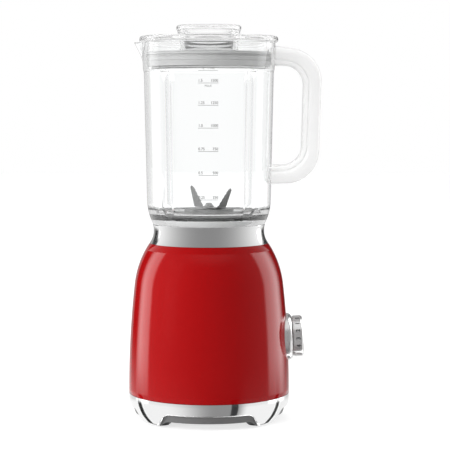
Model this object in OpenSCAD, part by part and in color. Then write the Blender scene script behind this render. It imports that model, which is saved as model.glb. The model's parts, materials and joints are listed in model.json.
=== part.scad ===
// Countertop blender: a domed motor base on a footed skirt, and a clear jug whose lid lifts off.
// Millimetres, +Z up, +X towards the handle and the control knob, -Y towards the user.
// The origin is on the drive axis, on the surface that the foot pads stand on.

/* [Motor base] */
// Radius of the housing where it is widest
base_r = 81.5; // [76:0.5:98]
// Height of the housing shell above the skirt
housing_h = 151.6; // [126:0.2:182]
// Height of the strongly curved shoulder
shoulder_h = 41.6; // [34:0.2:50]
// How far the housing draws in below the shoulder
lean_in = 6.2; // [3:0.1:8]
// Wall of the housing
housing_wall = 2.6; // [2:0.1:3.2]
// Height of the skirt's top edge above the table
skirt_top = 26.7; // [25:0.1:32]
// Radius of the skirt's inward curve, seen from the side
skirt_curve = 50; // [42:1:90]
// Wall of the skirt
skirt_wall = 2.6; // [2:0.1:3]
// Angle of the feet from the X axis
foot_angle = 41; // [36:1:50]
// Height of the arch between two feet
arch_top = 14.3; // [12:0.1:17]
// Height of the floor plate's underside
plate_clear = 6.6; // [5.5:0.1:8]

/* [Neck] */
// Radius of the neck at its waist
waist_r = 55.8; // [52:0.1:67]
// How much wider the neck is where it meets the housing
neck_flare = 4.2; // [3.2:0.1:5]
// Height of the neck above the housing
neck_h = 19.2; // [17:0.1:23]
// Height of the waist above the housing
waist_up = 12.7; // [11:0.1:14]
// Wall of the neck round the jug's seat
neck_wall = 2.4; // [2:0.1:2.8]

/* [Jug] */
// Height of the jug
jug_h = 182.2; // [152:0.2:219]
// Radius of the curve at the jug's foot
foot_curve = 52; // [44:1:62]
// Height of the curve at the jug's foot
foot_curve_h = 24.2; // [20:0.2:29]
// How much wider the jug is at its shoulder than above its foot
jug_taper = 2.9; // [1.5:0.1:4]
// Wall of the jug
jug_wall = 2.8; // [2.2:0.1:3.4]
// Height of the rim band that takes the lid's seal
band_h = 28; // [24:0.5:32]
// How far the handle reaches beyond the jug's shoulder
handle_reach = 47.4; // [40:0.2:57]
// Thickness of the handle's bar
handle_bar = 18.6; // [15:0.2:22]
// Width of the handle, across the grip
handle_w = 26; // [21:0.5:31]
// How far the spout's lip reaches beyond the jug's rim
spout_reach = 8.2; // [5:0.2:10]

/* [Lid] */
// How far the lid's flange overhangs the jug's rim
lid_overhang = 2.7; // [2:0.1:4]
// Thickness of the lid's flange
flange_t = 5.7; // [4.6:0.1:7]
// Radius of the measuring cap
cap_r = 32.6; // [29:0.2:39]
// Height of the measuring cap's head
cap_h = 9; // [7:0.2:11]
// Depth that the measuring cap reaches below the lid's top
cap_depth = 22; // [15:0.5:25]

/* [Blades] */
// Reach of the flat blade wing from the axis
blade_reach = 32; // [27:0.5:38]
// Height that the raised blade wings rise
blade_rise = 22; // [16:0.5:26]
// Thickness of a blade
blade_t = 1.2; // [1:0.1:1.4]
// Radius of the blade shaft
blade_shaft_r = 4; // [3.4:0.1:4.8]

/* [Knob] */
// Height of the knob's axis
knob_z = 82.4; // [74:0.5:98]
// Radius of the knob
knob_r = 21; // [17.5:0.5:25]
// Thickness of the knob
knob_t = 10.3; // [8.5:0.1:12.5]
// How far the bezel overhangs the knob
bezel_rim = 3; // [2:0.1:4]
// Height of the bezel off the housing
bezel_t = 5; // [4.4:0.1:6]

/* [Motor] */
// Height of the laminated cores
core_h = 40; // [33:0.5:48]
// Outer radius of the stator
stator_r = 41; // [40:0.5:46]
// Radius of the rotor core
rotor_r = 22.8; // [20:0.1:23]
// Radius of the motor shaft
motor_shaft_r = 4; // [3.6:0.1:4.4]

/* [Hidden] */
$fn = 96;

// Gaps: faces of separate pieces, a running fit, a push fit, and how far a cut runs past a face
gap = 0.3;
running = 0.05;
push = 0.02;
past = 1;

// Heights of the stack
housing_top = skirt_top + housing_h;
shoulder_z = housing_top - shoulder_h;
neck_top = housing_top + neck_h;
waist_z = housing_top + waist_up;
seat_depth = 15.5;
deck_top = neck_top - seat_depth;
jug_bottom = neck_top + gap;
jug_top = jug_bottom + jug_h;

// Radii of the outer shapes
shoulder_r = base_r - lean_in;
neck_foot_r = waist_r + neck_flare;
neck_curve = (waist_up * waist_up + neck_flare * neck_flare) / (2 * neck_flare);
neck_rim_r = waist_r + neck_curve - sqrt(pow(neck_curve, 2) - pow(neck_top - waist_z, 2));

// Housing: its two tangent arcs, the lip under the neck and the columns for the plate's screws
widest = [base_r, skirt_top];
shoulder = [shoulder_r, shoulder_z];
crown = [neck_foot_r, housing_top];
lip_r = neck_foot_r - 2.8;
column_r = 6;
column_h = 33;
column_at = base_r - housing_wall - 11;
column_angle = 18;
column_angles = [column_angle, 180 - column_angle, 180 + column_angle, -column_angle];
web_t = 3;
screw_r = 1.9;
screw_head_r = 3.6;
screw_head_h = 2;
pilot_r = screw_r + 0.1;

// Skirt, floor plate and foot pads
skirt_band = 2.7;
skirt_lift = 1.2;
foot_half_top = 16.5;
foot_half_low = 8;
arch_fillet = 8;
foot_angles = [foot_angle, 180 - foot_angle, 180 + foot_angle, -foot_angle];
skirt_flange_t = 2.4;
plate_t = 3;
plate_wall = 2.4;
plate_arch_step = 1.5;
plate_top = plate_clear + plate_t;
pad_r = 7.5;
pad_h = 3.4;
pad_at = base_r - 19.5;
pad_column_r = 9.2;

// Neck, its screws and the deck inside it
cup_r = waist_r - neck_wall;
ledge_z = deck_top - 5.2;
ledge_t = 2.5;
ledge_r = waist_r - 6.8;
spigot_r = lip_r - 0.2;
neck_screw_at = waist_r - 5.2;
neck_boss_r = 3.6;
lug_top = housing_top - 12.3;
lug_t = 4;
lug_w = 12;
deck_t = 3.2;
deck_r = cup_r - gap;
deck_ring_r = waist_r - 9.3;
splash_r = 21;
splash_wall = 2;
splash_h = 5;
post_r = 4.5;
post_at = 44;
post_h = 22;
seat_ring_t = 1.5;
collar_bottom = deck_top + seat_ring_t;

// Motor: every height hangs from the deck that carries it
post_angles = [45, 135, 225, 315];
mount_t = 4;
mount_r = 6;
mount_screw_r = 2;
bracket_top = deck_top - post_h - mount_t;
bracket_t = 4;
bracket_bottom = bracket_top - bracket_t;
bracket_r = stator_r + 1;
core_top = bracket_bottom - 20;
core_bottom = core_top - core_h;
lower_top = core_bottom - 29;
lower_t = 3;
shaft_bottom = lower_top - 9;
shaft_top = deck_top - 1.5;
bolt_r = 2;
bolt_at = stator_r - 3;
bolt_post_r = 3.6;
bezel_seat = 0.1;
bearing_r = 11;
bearing_h = 7;
race_t = 2;
ball_r = 1.45;
ball_at = 7.5;
inner_race_r = 6;
bearing_z = bracket_bottom + 1;
yoke_t = 6;
rotor_gap = 0.8;
pole_face_r = rotor_r + rotor_gap;
pole_shoe_t = 2.4;
pole_half_w = 13;
coil_half_w = 20;
coil_head = 6;
brush_z = lower_top + 14;
commutator_r = 12;
brush_w = 8;
brush_len = 12;
fan_r = 32;
fan_h = 7.5;
fan_top = bracket_bottom - 3;

// Drive coupling: six lobes, male under the jug and female on the motor
lobe_at = 7.8;
lobe_r = 2.4;
lobe_core_r = 7.5;
socket_r = 16;
socket_bottom = deck_top - 9.5;
socket_top = deck_top + 8.2;
socket_floor = deck_top - 3.5;
dog_bottom = deck_top + 0.5;
dog_top = deck_top + 8.8;

// Interlock that the jug presses
interlock_at = 40;
interlock_size = [18, 10.4, 10];
interlock_well_r = 4;
plunger_r = 2.2;
plunger_flange_r = 3.6;
plunger_flange_t = 1.5;
plunger_gap = 0.3;
plunger_travel = 1.5;

// Knob, bezel and switch, along the normal of the housing's wall
land_r = 9;
land_up = 0.8;
land_depth = 6;
switch_size = [28, 28, 15];
bushing_r = 4.7;
switch_shaft_r = 3;
switch_nut_r = 7.5;
switch_nut_t = 2.4;
bezel_r = knob_r + bezel_rim;
knob_from = bezel_t + gap;
knob_to = knob_from + knob_t;
knob_round = 2.5;
knob_wall = 2;
knob_cap_r = knob_r - 4;
knob_cap_t = 1.2;

// Jug
foot_r = neck_rim_r - gap;
foot_sweep = asin(foot_curve_h / foot_curve);
belly_r = foot_r + foot_curve * (1 - cos(foot_sweep));
belly_z = jug_bottom + foot_curve_h;
band_z = jug_top - band_h;
jug_shoulder_r = belly_r + jug_taper;
band_r = jug_shoulder_r + 0.8;
jug_rim_r = band_r + 0.8;
band_in_r = band_r - 2.2;
rim_in_r = band_in_r + 0.3;
floor_under = jug_bottom + 6.2;
floor_t = 3.5;
floor_z = floor_under + floor_t;
floor_round = 12;
rib_w = 13;
rib_h = 4;
rib_angles = [47, 133, 227, 313];
taper_angle = atan2(jug_taper, band_z - belly_z);
spout_r = 19.2;
spout_low_r = 8;
spout_h = 22;
spout_wall = 2.4;
spout_x = -(jug_rim_r + spout_reach - spout_r);

// Handle: its corners in the XZ plane, each with its radius
handle_root = belly_r - 3;
handle_top = jug_top - 3;
handle_drop = 6.8;
handle_span = 138.4;
handle_low = handle_top - handle_span * jug_h / 182.2;
grip_x = jug_shoulder_r + handle_reach + 1.1;
grip_lean = 4;
grip_round = 33;
groove_step = 6.4;
groove_w = 17;

// Jug collar, blade hub and its clamping ring
collar_r = cup_r - 0.8;
collar_wall = 2.6;
collar_flange_t = 3.5;
collar_foot_r = 36;
collar_foot_t = 3;
barrel_r = 22;
barrel_bottom = deck_top + 10;
gasket_t = 0.7;
hub_flange_t = 1.3;
hub_flange_r = 25;
hub_top = floor_z + gasket_t + hub_flange_t;
ring_nut_r = 33;
ring_nut_t = 5;
bush_r = 8;
bush_h = 7;

// Blades: the stack on the shaft's shoulder
shoulder_washer_t = 0.6;
stack_z = hub_top + gap + shoulder_washer_t;
stud_r = 3;
blade_root_w = 12;
raise_at = 19;
raise_angle = 53;
droop_at = 19;
droop_angle = 6;
bend_lap = 0.4;
serrations = 4;

// Lid, seal and measuring cap
lid_bottom = jug_top + gap;
lid_top = lid_bottom + flange_t;
lid_r = jug_rim_r + lid_overhang;
lid_plate_t = 3.4;
plug_r = band_in_r - 3.4;
plug_wall = 2.6;
plug_depth = 25.6;
plug_bottom = jug_top - plug_depth - 1.6;
seal_r = band_in_r - 0.5;
seal_h = 15.6;
seal_z = jug_top - 25.3;
cup_wall = 2;
cup_out_r = cap_r - 5.7;
feed_r = cup_out_r + 0.4;
feed_wall = 2.4;
feed_depth = 12;
feed_rise = 1.7;
cap_z = lid_top + feed_rise + gap;
cap_top = cap_z + cap_h;

// Cord gland at the back
gland_z = skirt_top + 13.5;
gland_r = 6.5;
gland_bore_r = 3.6;
gland_head_r = 9;
gland_len = 16;

// Control board on the floor plate
board_size = [36, 52, 1.6];
board_x = -(column_at * cos(column_angle) - column_r - 1);
board_lift = 6.4;
standoff_r = 3;

// ---- Outlines ----

// Lean at the far end of an arc from p to q that starts with lean t0, leaning in as it rises.
function end_lean(p, q, t0) = 2 * atan2(p[0] - q[0], q[1] - p[1]) - t0;
function arc_radius(p, q, t0) = (q[1] - p[1]) / (sin(end_lean(p, q, t0)) - sin(t0));
function arc_centre(p, q, t0) = p - arc_radius(p, q, t0) * [cos(t0), sin(t0)];
function arc(p, q, t0, w, n) =
    let (t1 = end_lean(p, q, t0), r = arc_radius(p, q, t0) - w)
    [for (i = [0:n]) let (t = t0 + (t1 - t0) * i / n) arc_centre(p, q, t0) + r * [cos(t), sin(t)]];
function reversed(points) = [for (i = [len(points) - 1:-1:0]) points[i]];

// A corner of a polygon rounded to radius r, and a polygon of corners [x, y, r].
function unit(v) = v / norm(v);
function corner(a, b, c, r, n = 8) =
    r == 0 ? [b] :
    let (
        u = unit(a - b),
        v = unit(c - b),
        half = acos(u * v) / 2,
        centre = b + unit(u + v) * r / sin(half),
        s = b + u * r / tan(half) - centre,
        e = b + v * r / tan(half) - centre,
        start = atan2(s[1], s[0]),
        sweep = atan2(s[0] * e[1] - s[1] * e[0], s * e)
    )
    [for (i = [0:n]) centre + r * [cos(start + sweep * i / n), sin(start + sweep * i / n)]];
function flat(p) = [p[0], p[1]];
function rounded(p) =
    let (m = len(p))
    [for (i = [0:m - 1]) each corner(flat(p[(i + m - 1) % m]), flat(p[i]), flat(p[(i + 1) % m]), p[i][2])];

// The housing's outer line, moved in by w, and its radius and lean at a height.
shoulder_lean = end_lean(widest, shoulder, 0);
function housing_line(w) =
    concat(arc(widest, shoulder, 0, w, 6), [for (i = [1:9]) arc(shoulder, crown, shoulder_lean, w, 9)[i]]);
function lower_part(z) = z < shoulder_z;
function housing_arc(z) = lower_part(z) ? arc_centre(widest, shoulder, 0) :
    arc_centre(shoulder, crown, shoulder_lean);
function housing_arc_r(z) = lower_part(z) ? arc_radius(widest, shoulder, 0) :
    arc_radius(shoulder, crown, shoulder_lean);
function housing_r(z) = housing_arc(z)[0] + sqrt(pow(housing_arc_r(z), 2) - pow(z - housing_arc(z)[1], 2));
function housing_lean(z) = asin((z - housing_arc(z)[1]) / housing_arc_r(z));

// The skirt's outer line from its lower edge up, moved in by w.
skirt_bend_z = skirt_top - skirt_band;
function skirt_line(w) =
    let (r = skirt_curve - w, low = asin((skirt_bend_z - skirt_lift) / r))
    [for (i = [6:-1:0]) [base_r - skirt_curve + r * cos(low * i / 6), skirt_bend_z - r * sin(low * i / 6)]];
function skirt_r(z) = base_r - skirt_curve + sqrt(pow(skirt_curve, 2) - pow(skirt_bend_z - z, 2));

// The jug's outer line from its foot to its rim, and its inner line from the floor up.
function jug_line() = concat(
    [for (i = [8:-1:0]) [
        belly_r - foot_curve * (1 - cos(foot_sweep * i / 8)),
        belly_z - foot_curve * sin(foot_sweep * i / 8)
    ]],
    [[jug_shoulder_r, band_z - 2], [band_r, band_z + 1], [jug_rim_r, jug_top]]
);
function cavity_line() =
    let (low_r = belly_r - jug_wall)
    concat(
        [for (i = [0:8]) [
            low_r - floor_round * (1 - sin(i * 90 / 8)),
            floor_z + floor_round * (1 - cos(i * 90 / 8))
        ]],
        [[jug_shoulder_r - jug_wall, band_z - 2], [band_in_r, band_z + 0.5], [rim_in_r, jug_top]]
    );

// ---- Shapes used more than once ----

module ring(r_out, r_in, h) {
    difference() {
        cylinder(r = r_out, h = h);
        translate([0, 0, -past]) cylinder(r = r_in, h = h + 2 * past);
    }
}

module around(angles, at) {
    for (a = angles) rotate([0, 0, a]) translate([at, 0, 0]) children();
}

module on_wall(z) {
    translate([housing_r(z), 0, z]) rotate([0, 90 - housing_lean(z), 0]) children();
}

module screw(length) {
    translate([0, 0, -screw_head_h]) cylinder(r = screw_head_r, h = screw_head_h);
    cylinder(r = screw_r, h = length);
}

module box_at(x, y, z, size) {
    translate([x - size[0] / 2, y - size[1] / 2, z]) cube(size);
}

module lobes(extra, h) {
    cylinder(r = lobe_core_r + extra, h = h);
    for (i = [0:5]) rotate([0, 0, i * 60]) translate([lobe_at, 0, 0]) cylinder(r = lobe_r + extra, h = h);
}

// A closed coil spring along +Z, swept as eight-sided wire.
module coil_spring(radius, wire, turns, height) {
    sides = 8;
    steps = turns * 14;
    points = [for (i = [0:steps]) for (j = [0:sides - 1])
        let (a = i * turns * 360 / steps, b = j * 360 / sides, r = radius + wire * cos(b))
        [r * cos(a), r * sin(a), wire + (height - 2 * wire) * i / steps + wire * sin(b)]];
    walls = [for (i = [0:steps - 1]) for (j = [0:sides - 1])
        let (k = (j + 1) % sides)
        [i * sides + k, i * sides + j, (i + 1) * sides + j, (i + 1) * sides + k]];
    ends = [[for (j = [0:sides - 1]) j], [for (j = [sides - 1:-1:0]) steps * sides + j]];
    polyhedron(points = points, faces = concat(walls, ends));
}

// Prism that cuts an arch between two feet: half-widths at its top and at the floor.
module arch(half_top, half_low, top) {
    slope = (half_low - half_top) / top;
    rotate([90, 0, 90]) linear_extrude(height = base_r + past) polygon(rounded([
        [half_low + slope * past, -past, 0],
        [half_top, top, arch_fillet],
        [-half_top, top, arch_fillet],
        [-half_low - slope * past, -past, 0]
    ]));
}

module arches(top, narrower) {
    side_top = foot_angle - foot_half_top;
    side_low = foot_angle - foot_half_low;
    for (a = [0, 180]) rotate([0, 0, a])
        arch(skirt_r(arch_top) * sin(side_top) - narrower, skirt_r(skirt_lift) * sin(side_low) - narrower, top);
    for (a = [90, 270]) rotate([0, 0, a])
        arch(skirt_r(arch_top) * sin(90 - foot_angle - foot_half_top) - narrower,
            skirt_r(skirt_lift) * sin(90 - foot_angle - foot_half_low) - narrower, top);
}

// ---- Base ----

module skirt() {
    color("gainsboro") difference() {
        union() {
            rotate_extrude() polygon(concat(
                skirt_line(0),
                [[base_r, skirt_top], [base_r - skirt_wall, skirt_top]],
                reversed(skirt_line(skirt_wall))
            ));
            translate([0, 0, skirt_top - skirt_flange_t])
                ring(base_r - skirt_wall / 2, column_at - column_r, skirt_flange_t);
        }
        arches(arch_top, 0);
        around(column_angles, column_at) translate([0, 0, skirt_bend_z - past])
            cylinder(r = screw_r + gap, h = skirt_top);
    }
}

module floor_plate() {
    inside = skirt_wall + gap;
    post_top = skirt_top - skirt_flange_t;
    color("dimgray") difference() {
        union() {
            difference() {
                rotate_extrude() polygon(concat(
                    skirt_line(inside),
                    [[base_r - inside - plate_wall, skirt_bend_z]],
                    reversed(skirt_line(inside + plate_wall))
                ));
                arches(plate_clear, plate_arch_step);
            }
            translate([0, 0, plate_clear]) cylinder(r = skirt_r(plate_clear) - inside - plate_wall / 2, h = plate_t);
            around(foot_angles, pad_at) translate([0, 0, skirt_lift])
                cylinder(r = pad_column_r, h = plate_top - skirt_lift);
            around(column_angles, column_at) translate([0, 0, plate_clear])
                cylinder(r = column_r - 1, h = post_top - plate_clear);
            for (x = [standoff_r + 1, board_size[0] - standoff_r - 1])
                for (y = [-1, 1])
                    translate([board_x + x, y * (board_size[1] / 2 - standoff_r - 1), plate_clear])
                        cylinder(r = standoff_r, h = plate_t + board_lift);
        }
        around(foot_angles, pad_at) translate([0, 0, skirt_lift - past])
            cylinder(r = pad_r + push, h = pad_h - skirt_lift + past);
        around(column_angles, column_at) translate([0, 0, plate_clear - past])
            cylinder(r = screw_r + gap, h = post_top);
        for (i = [-3:3]) box_at(30, i * 9, plate_clear - past, [34, 4, plate_t + 2 * past]);
    }
}

module foot_pads() {
    color("black") around(foot_angles, pad_at) cylinder(r = pad_r, h = pad_h);
}

module plate_screws() {
    color("silver") around(column_angles, column_at) translate([0, 0, plate_clear])
        screw(skirt_top + column_h - 6 - plate_clear);
}

module housing() {
    color("firebrick") difference() {
        union() {
            rotate_extrude() polygon(concat(
                housing_line(0),
                [[lip_r, housing_top]],
                reversed(housing_line(housing_wall))
            ));
            around(column_angles, column_at) translate([0, 0, skirt_top]) cylinder(r = column_r, h = column_h);
            around(column_angles, column_at) translate([0, -web_t / 2, skirt_top])
                cube([base_r - column_at - housing_wall / 2 - 0.6, web_t, column_h]);
            for (a = [0:90:270]) rotate([0, 0, a]) neck_lug();
            on_wall(knob_z) translate([0, 0, -land_depth]) cylinder(r = land_r, h = land_depth + land_up);
        }
        around(column_angles, column_at) translate([0, 0, skirt_top - past])
            cylinder(r = pilot_r, h = column_h - 3 + past);
        for (a = [0:90:270]) rotate([0, 0, a]) translate([neck_screw_at, 0, lug_top - lug_t - past])
            cylinder(r = screw_r + gap, h = lug_t + 2 * past);
        on_wall(knob_z) translate([0, 0, -land_depth - past]) cylinder(r = bushing_r + gap, h = land_depth + 5);
        translate([0, housing_r(gland_z) - 12, gland_z]) rotate([-90, 0, 0]) cylinder(r = gland_r + push, h = 20);
    }
}

// Lug inside the housing's shoulder, under one of the neck's bosses.
module neck_lug() {
    reach = housing_r(lug_top) - housing_wall / 2;
    from = neck_screw_at - 5;
    translate([from, -lug_w / 2, lug_top - lug_t])
        cube([sqrt(reach * reach - lug_w * lug_w / 4) - from, lug_w, lug_t]);
}

module neck() {
    flare_steps = 10;
    span = neck_top - housing_top;
    color("silver") difference() {
        union() {
            rotate_extrude() polygon(concat(
                [for (i = [0:flare_steps]) let (z = housing_top + span * i / flare_steps) [
                    waist_r + neck_curve - sqrt(pow(neck_curve, 2) - pow(z - waist_z, 2)), z
                ]],
                [
                    [cup_r, neck_top], [cup_r, ledge_z], [ledge_r, ledge_z],
                    [ledge_r, ledge_z - ledge_t], [spigot_r, ledge_z - ledge_t], [spigot_r, housing_top]
                ]
            ));
            around([0:90:270], neck_screw_at) translate([0, 0, lug_top])
                cylinder(r = neck_boss_r, h = ledge_z - lug_top);
        }
        around([0:90:270], neck_screw_at) translate([0, 0, lug_top - past])
            cylinder(r = screw_r + gap, h = ledge_z - lug_top + 2 * past);
    }
}

module neck_screws() {
    color("silver") around([0:90:270], neck_screw_at) translate([0, 0, lug_top - lug_t])
        screw(deck_top - 2 - lug_top + lug_t);
}

module deck() {
    color("gray") difference() {
        union() {
            translate([0, 0, ledge_z]) ring(deck_r, deck_ring_r, deck_top - ledge_z);
            translate([0, 0, deck_top - deck_t]) ring(deck_ring_r + past, splash_r, deck_t);
            translate([0, 0, deck_top - deck_t]) ring(splash_r + splash_wall, splash_r, deck_t + splash_h);
            around(post_angles, post_at) translate([0, 0, deck_top - post_h]) cylinder(r = post_r, h = post_h);
        }
        around([0:90:270], neck_screw_at) translate([0, 0, ledge_z - past])
            cylinder(r = pilot_r, h = deck_top - 1.2 - ledge_z + past);
        around(post_angles, post_at) translate([0, 0, deck_top - post_h - past])
            cylinder(r = mount_screw_r + 0.1, h = 14 + past);
        translate([0, interlock_at, deck_top - deck_t - past])
            cylinder(r = plunger_r + gap, h = deck_t + 2 * past);
    }
}

module seat_ring() {
    color("dimgray") translate([0, 0, deck_top]) ring(collar_r, collar_r - 7, seat_ring_t);
}

module interlock_switch() {
    top = deck_top - deck_t;
    color("black") difference() {
        box_at(0, interlock_at, top - interlock_size[2], interlock_size);
        translate([0, interlock_at, top - interlock_size[2] + 2])
            cylinder(r = interlock_well_r, h = interlock_size[2]);
    }
}

module interlock_plunger() {
    top = deck_top + seat_ring_t - plunger_gap;
    flange_z = deck_top - deck_t - plunger_gap - plunger_flange_t;
    color("white") translate([0, interlock_at, 0]) {
        translate([0, 0, flange_z]) cylinder(r = plunger_r, h = top - flange_z);
        translate([0, 0, flange_z]) cylinder(r = plunger_flange_r, h = plunger_flange_t);
    }
}

module plunger_spring() {
    low = deck_top - deck_t - interlock_size[2] + 2;
    high = deck_top - deck_t - plunger_gap - plunger_flange_t;
    color("silver") translate([0, interlock_at, low]) coil_spring(2.9, 0.3, 5, high - low);
}

// ---- Control side ----

module knob_bezel() {
    edge = 1.6;
    color("silver") difference() {
        on_wall(knob_z) rotate_extrude() polygon(rounded([
            [land_r + gap, -bezel_r * 0.2, 0],
            [bezel_r, -bezel_r * 0.2, 0],
            [bezel_r, bezel_t, edge],
            [land_r + gap, bezel_t, 0]
        ]));
        rotate_extrude() polygon(concat([[0, skirt_top]], housing_line(-bezel_seat), [[0, housing_top]]));
    }
}

module switch_nut() {
    color("silver") on_wall(knob_z) translate([0, 0, land_up]) difference() {
        cylinder(r = switch_nut_r, h = switch_nut_t, $fn = 6);
        translate([0, 0, -past]) cylinder(r = bushing_r + push, h = switch_nut_t + 2 * past);
    }
}

module rotary_switch() {
    color("black") on_wall(knob_z) difference() {
        union() {
            box_at(0, 0, -land_depth - switch_size[2], switch_size);
            translate([0, 0, -land_depth - 1]) cylinder(r = bushing_r, h = land_depth + land_up + switch_nut_t + 1);
        }
        translate([0, 0, -land_depth - 12]) cylinder(r = switch_shaft_r + running, h = 40);
    }
}

module switch_shaft() {
    color("silver") on_wall(knob_z) translate([0, 0, -land_depth - 12 + gap])
        cylinder(r = switch_shaft_r, h = land_depth + 12 - gap + knob_to - 3);
}

module knob() {
    hub_r = 6;
    color("silver") on_wall(knob_z) difference() {
        rotate_extrude() polygon(rounded([
            [0, knob_from + 1, 0],
            [knob_r - knob_wall, knob_from + 1, 0],
            [knob_r - knob_wall, knob_from, 0],
            [knob_r, knob_from, 0],
            [knob_r, knob_to, knob_round],
            [0, knob_to, 0]
        ]));
        translate([0, 0, knob_to - knob_cap_t]) cylinder(r = knob_cap_r + push, h = knob_cap_t + past);
        translate([0, 0, knob_from - past]) ring(knob_r - knob_wall, hub_r, knob_t - 3 - knob_cap_t + past);
        translate([0, 0, knob_from - past]) cylinder(r = switch_shaft_r + push, h = knob_t - 3 + past);
    }
}

module knob_cap() {
    color("gainsboro") on_wall(knob_z) translate([0, 0, knob_to - knob_cap_t])
        cylinder(r = knob_cap_r, h = knob_cap_t);
}

module cord_gland() {
    wall_y = housing_r(gland_z);
    color("black") translate([0, wall_y, gland_z]) rotate([-90, 0, 0]) difference() {
        union() {
            translate([0, 0, 2 - gland_len]) cylinder(r = gland_r, h = gland_len - 1);
            translate([0, 0, 0.6]) cylinder(r = gland_head_r, h = 3);
            translate([0, 0, -housing_wall - 3]) cylinder(r = gland_head_r - 1, h = 2);
        }
        translate([0, 0, -gland_len]) cylinder(r = gland_bore_r, h = 2 * gland_len);
    }
}

module control_board() {
    color("darkgreen") translate([board_x, -board_size[1] / 2, plate_top + board_lift]) cube(board_size);
}

module board_capacitor() {
    color("gold") translate([board_x + 8, 0, plate_top + board_lift + board_size[2]]) cylinder(r = 6.5, h = 18);
}

module board_heat_sink() {
    fin_t = 1.2;
    pitch = 3;
    color("silver") translate([board_x + 20, -20, plate_top + board_lift + board_size[2]]) {
        cube([3 * pitch + fin_t, 24, 2]);
        for (i = [0:3]) translate([pitch * i, 0, 0]) cube([fin_t, 24, 14]);
    }
}

module board_terminals() {
    color("royalblue") translate([board_x + 18, 8, plate_top + board_lift + board_size[2]]) difference() {
        cube([9, 16, 9]);
        for (i = [0:2]) translate([-past, 3 + 5 * i, 4.5]) rotate([0, 90, 0]) cylinder(r = 1.4, h = 6);
    }
}

// ---- Motor ----

module motor_mounts() {
    color("black") around(post_angles, post_at) translate([0, 0, bracket_top])
        ring(mount_r, mount_screw_r + 0.2, mount_t);
}

module mount_screws() {
    color("silver") around(post_angles, post_at) translate([0, 0, bracket_bottom]) {
        translate([0, 0, -screw_head_h]) cylinder(r = screw_head_r, h = screw_head_h);
        cylinder(r = mount_screw_r, h = bracket_t + mount_t + 12);
    }
}

module upper_bracket() {
    color("silver") difference() {
        union() {
            translate([0, 0, bracket_bottom]) cylinder(r = bracket_r, h = bracket_t);
            around(post_angles, post_at) translate([0, 0, bracket_bottom]) cylinder(r = mount_r + 1, h = bracket_t);
            translate([0, 0, bracket_bottom]) cylinder(r = bearing_r + 2.5, h = bearing_h + 2);
            around([0, 180], bolt_at) translate([0, 0, core_top]) cylinder(r = bolt_post_r, h = bracket_bottom - core_top + 1);
        }
        translate([0, 0, bracket_bottom - past]) cylinder(r = bearing_r + push, h = bearing_h + 1 + past);
        translate([0, 0, bracket_bottom]) cylinder(r = inner_race_r + 1, h = bearing_h + 3);
        around(post_angles, post_at) translate([0, 0, bracket_bottom - past])
            cylinder(r = mount_screw_r + gap, h = bracket_t + 2 * past);
        around([0, 180], bolt_at) translate([0, 0, core_top - past])
            cylinder(r = bolt_r + push, h = bracket_top - core_top + 2 * past);
        for (a = [0:90:270]) rotate([0, 0, a + 22]) for (b = [0, 23, 46]) rotate([0, 0, b])
            translate([24.5, 0, bracket_bottom - past]) cylinder(r = 4.2, h = bracket_t + 2 * past);
    }
}

module bearing_outer_race() {
    color("silver") translate([0, 0, bearing_z]) ring(bearing_r, bearing_r - race_t, bearing_h);
}

module bearing_inner_race() {
    color("silver") translate([0, 0, bearing_z]) ring(inner_race_r, motor_shaft_r + push, bearing_h);
}

module bearing_balls() {
    color("gainsboro") around([for (i = [0:6]) i * 360 / 7], ball_at) translate([0, 0, bearing_z + bearing_h / 2])
        sphere(r = ball_r, $fn = 24);
}

module stator_core() {
    yoke_in = stator_r - yoke_t;
    color("slategray") translate([0, 0, core_bottom]) difference() {
        union() {
            ring(stator_r, yoke_in, core_h);
            intersection() {
                ring(pole_face_r + pole_shoe_t, pole_face_r, core_h);
                for (s = [-1, 1]) box_at(0, s * 40, 0, [44, 60, core_h]);
            }
            difference() {
                for (s = [-1, 1]) box_at(0, s * (yoke_in + pole_face_r + 2) / 2, 0,
                    [2 * pole_half_w, yoke_in - pole_face_r, core_h]);
                translate([0, 0, -past]) cylinder(r = pole_face_r, h = core_h + 2 * past);
            }
        }
        around([0, 180], bolt_at) translate([0, 0, -past]) cylinder(r = bolt_r + push, h = core_h + 2 * past);
    }
}

module field_coils() {
    coil_in = pole_face_r + pole_shoe_t + gap;
    coil_out = stator_r - yoke_t - gap;
    color("darkorange") translate([0, 0, core_bottom - coil_head]) difference() {
        intersection() {
            ring(coil_out, coil_in, core_h + 2 * coil_head);
            for (s = [-1, 1]) box_at(0, s * 40, 0, [2 * coil_half_w, 60, core_h + 2 * coil_head]);
        }
        box_at(0, 0, coil_head - gap, [2 * (pole_half_w + gap), 100, core_h + 2 * gap]);
    }
}

module lower_bracket() {
    color("silver") difference() {
        union() {
            translate([0, 0, lower_top - lower_t]) cylinder(r = bracket_r, h = lower_t);
            translate([0, 0, lower_top - 7]) cylinder(r = bush_r + 3, h = 11);
            around([0, 180], bolt_at) translate([0, 0, lower_top - 1])
                cylinder(r = bolt_post_r, h = core_bottom - lower_top + 1);
            for (s = [-1, 1]) box_at(0, s * 26, lower_top - 1, [12, 14, brush_z - brush_w / 2 - 1 - lower_top + 1]);
        }
        translate([0, 0, lower_top - 7 - past]) cylinder(r = motor_shaft_r + 1, h = 13);
        translate([0, 0, lower_top - 5]) cylinder(r = bush_r + push, h = 10);
        around([0, 180], bolt_at) translate([0, 0, lower_top - lower_t - past])
            cylinder(r = bolt_r + push, h = core_bottom - lower_top + lower_t + 2 * past);
        for (a = [0:60:300]) rotate([0, 0, a + 15]) translate([19, 0, lower_top - lower_t - past])
            cylinder(r = 4, h = lower_t + 2 * past);
    }
}

module lower_bush() {
    color("goldenrod") translate([0, 0, lower_top - 5]) ring(bush_r, motor_shaft_r + running, 9);
}

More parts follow.
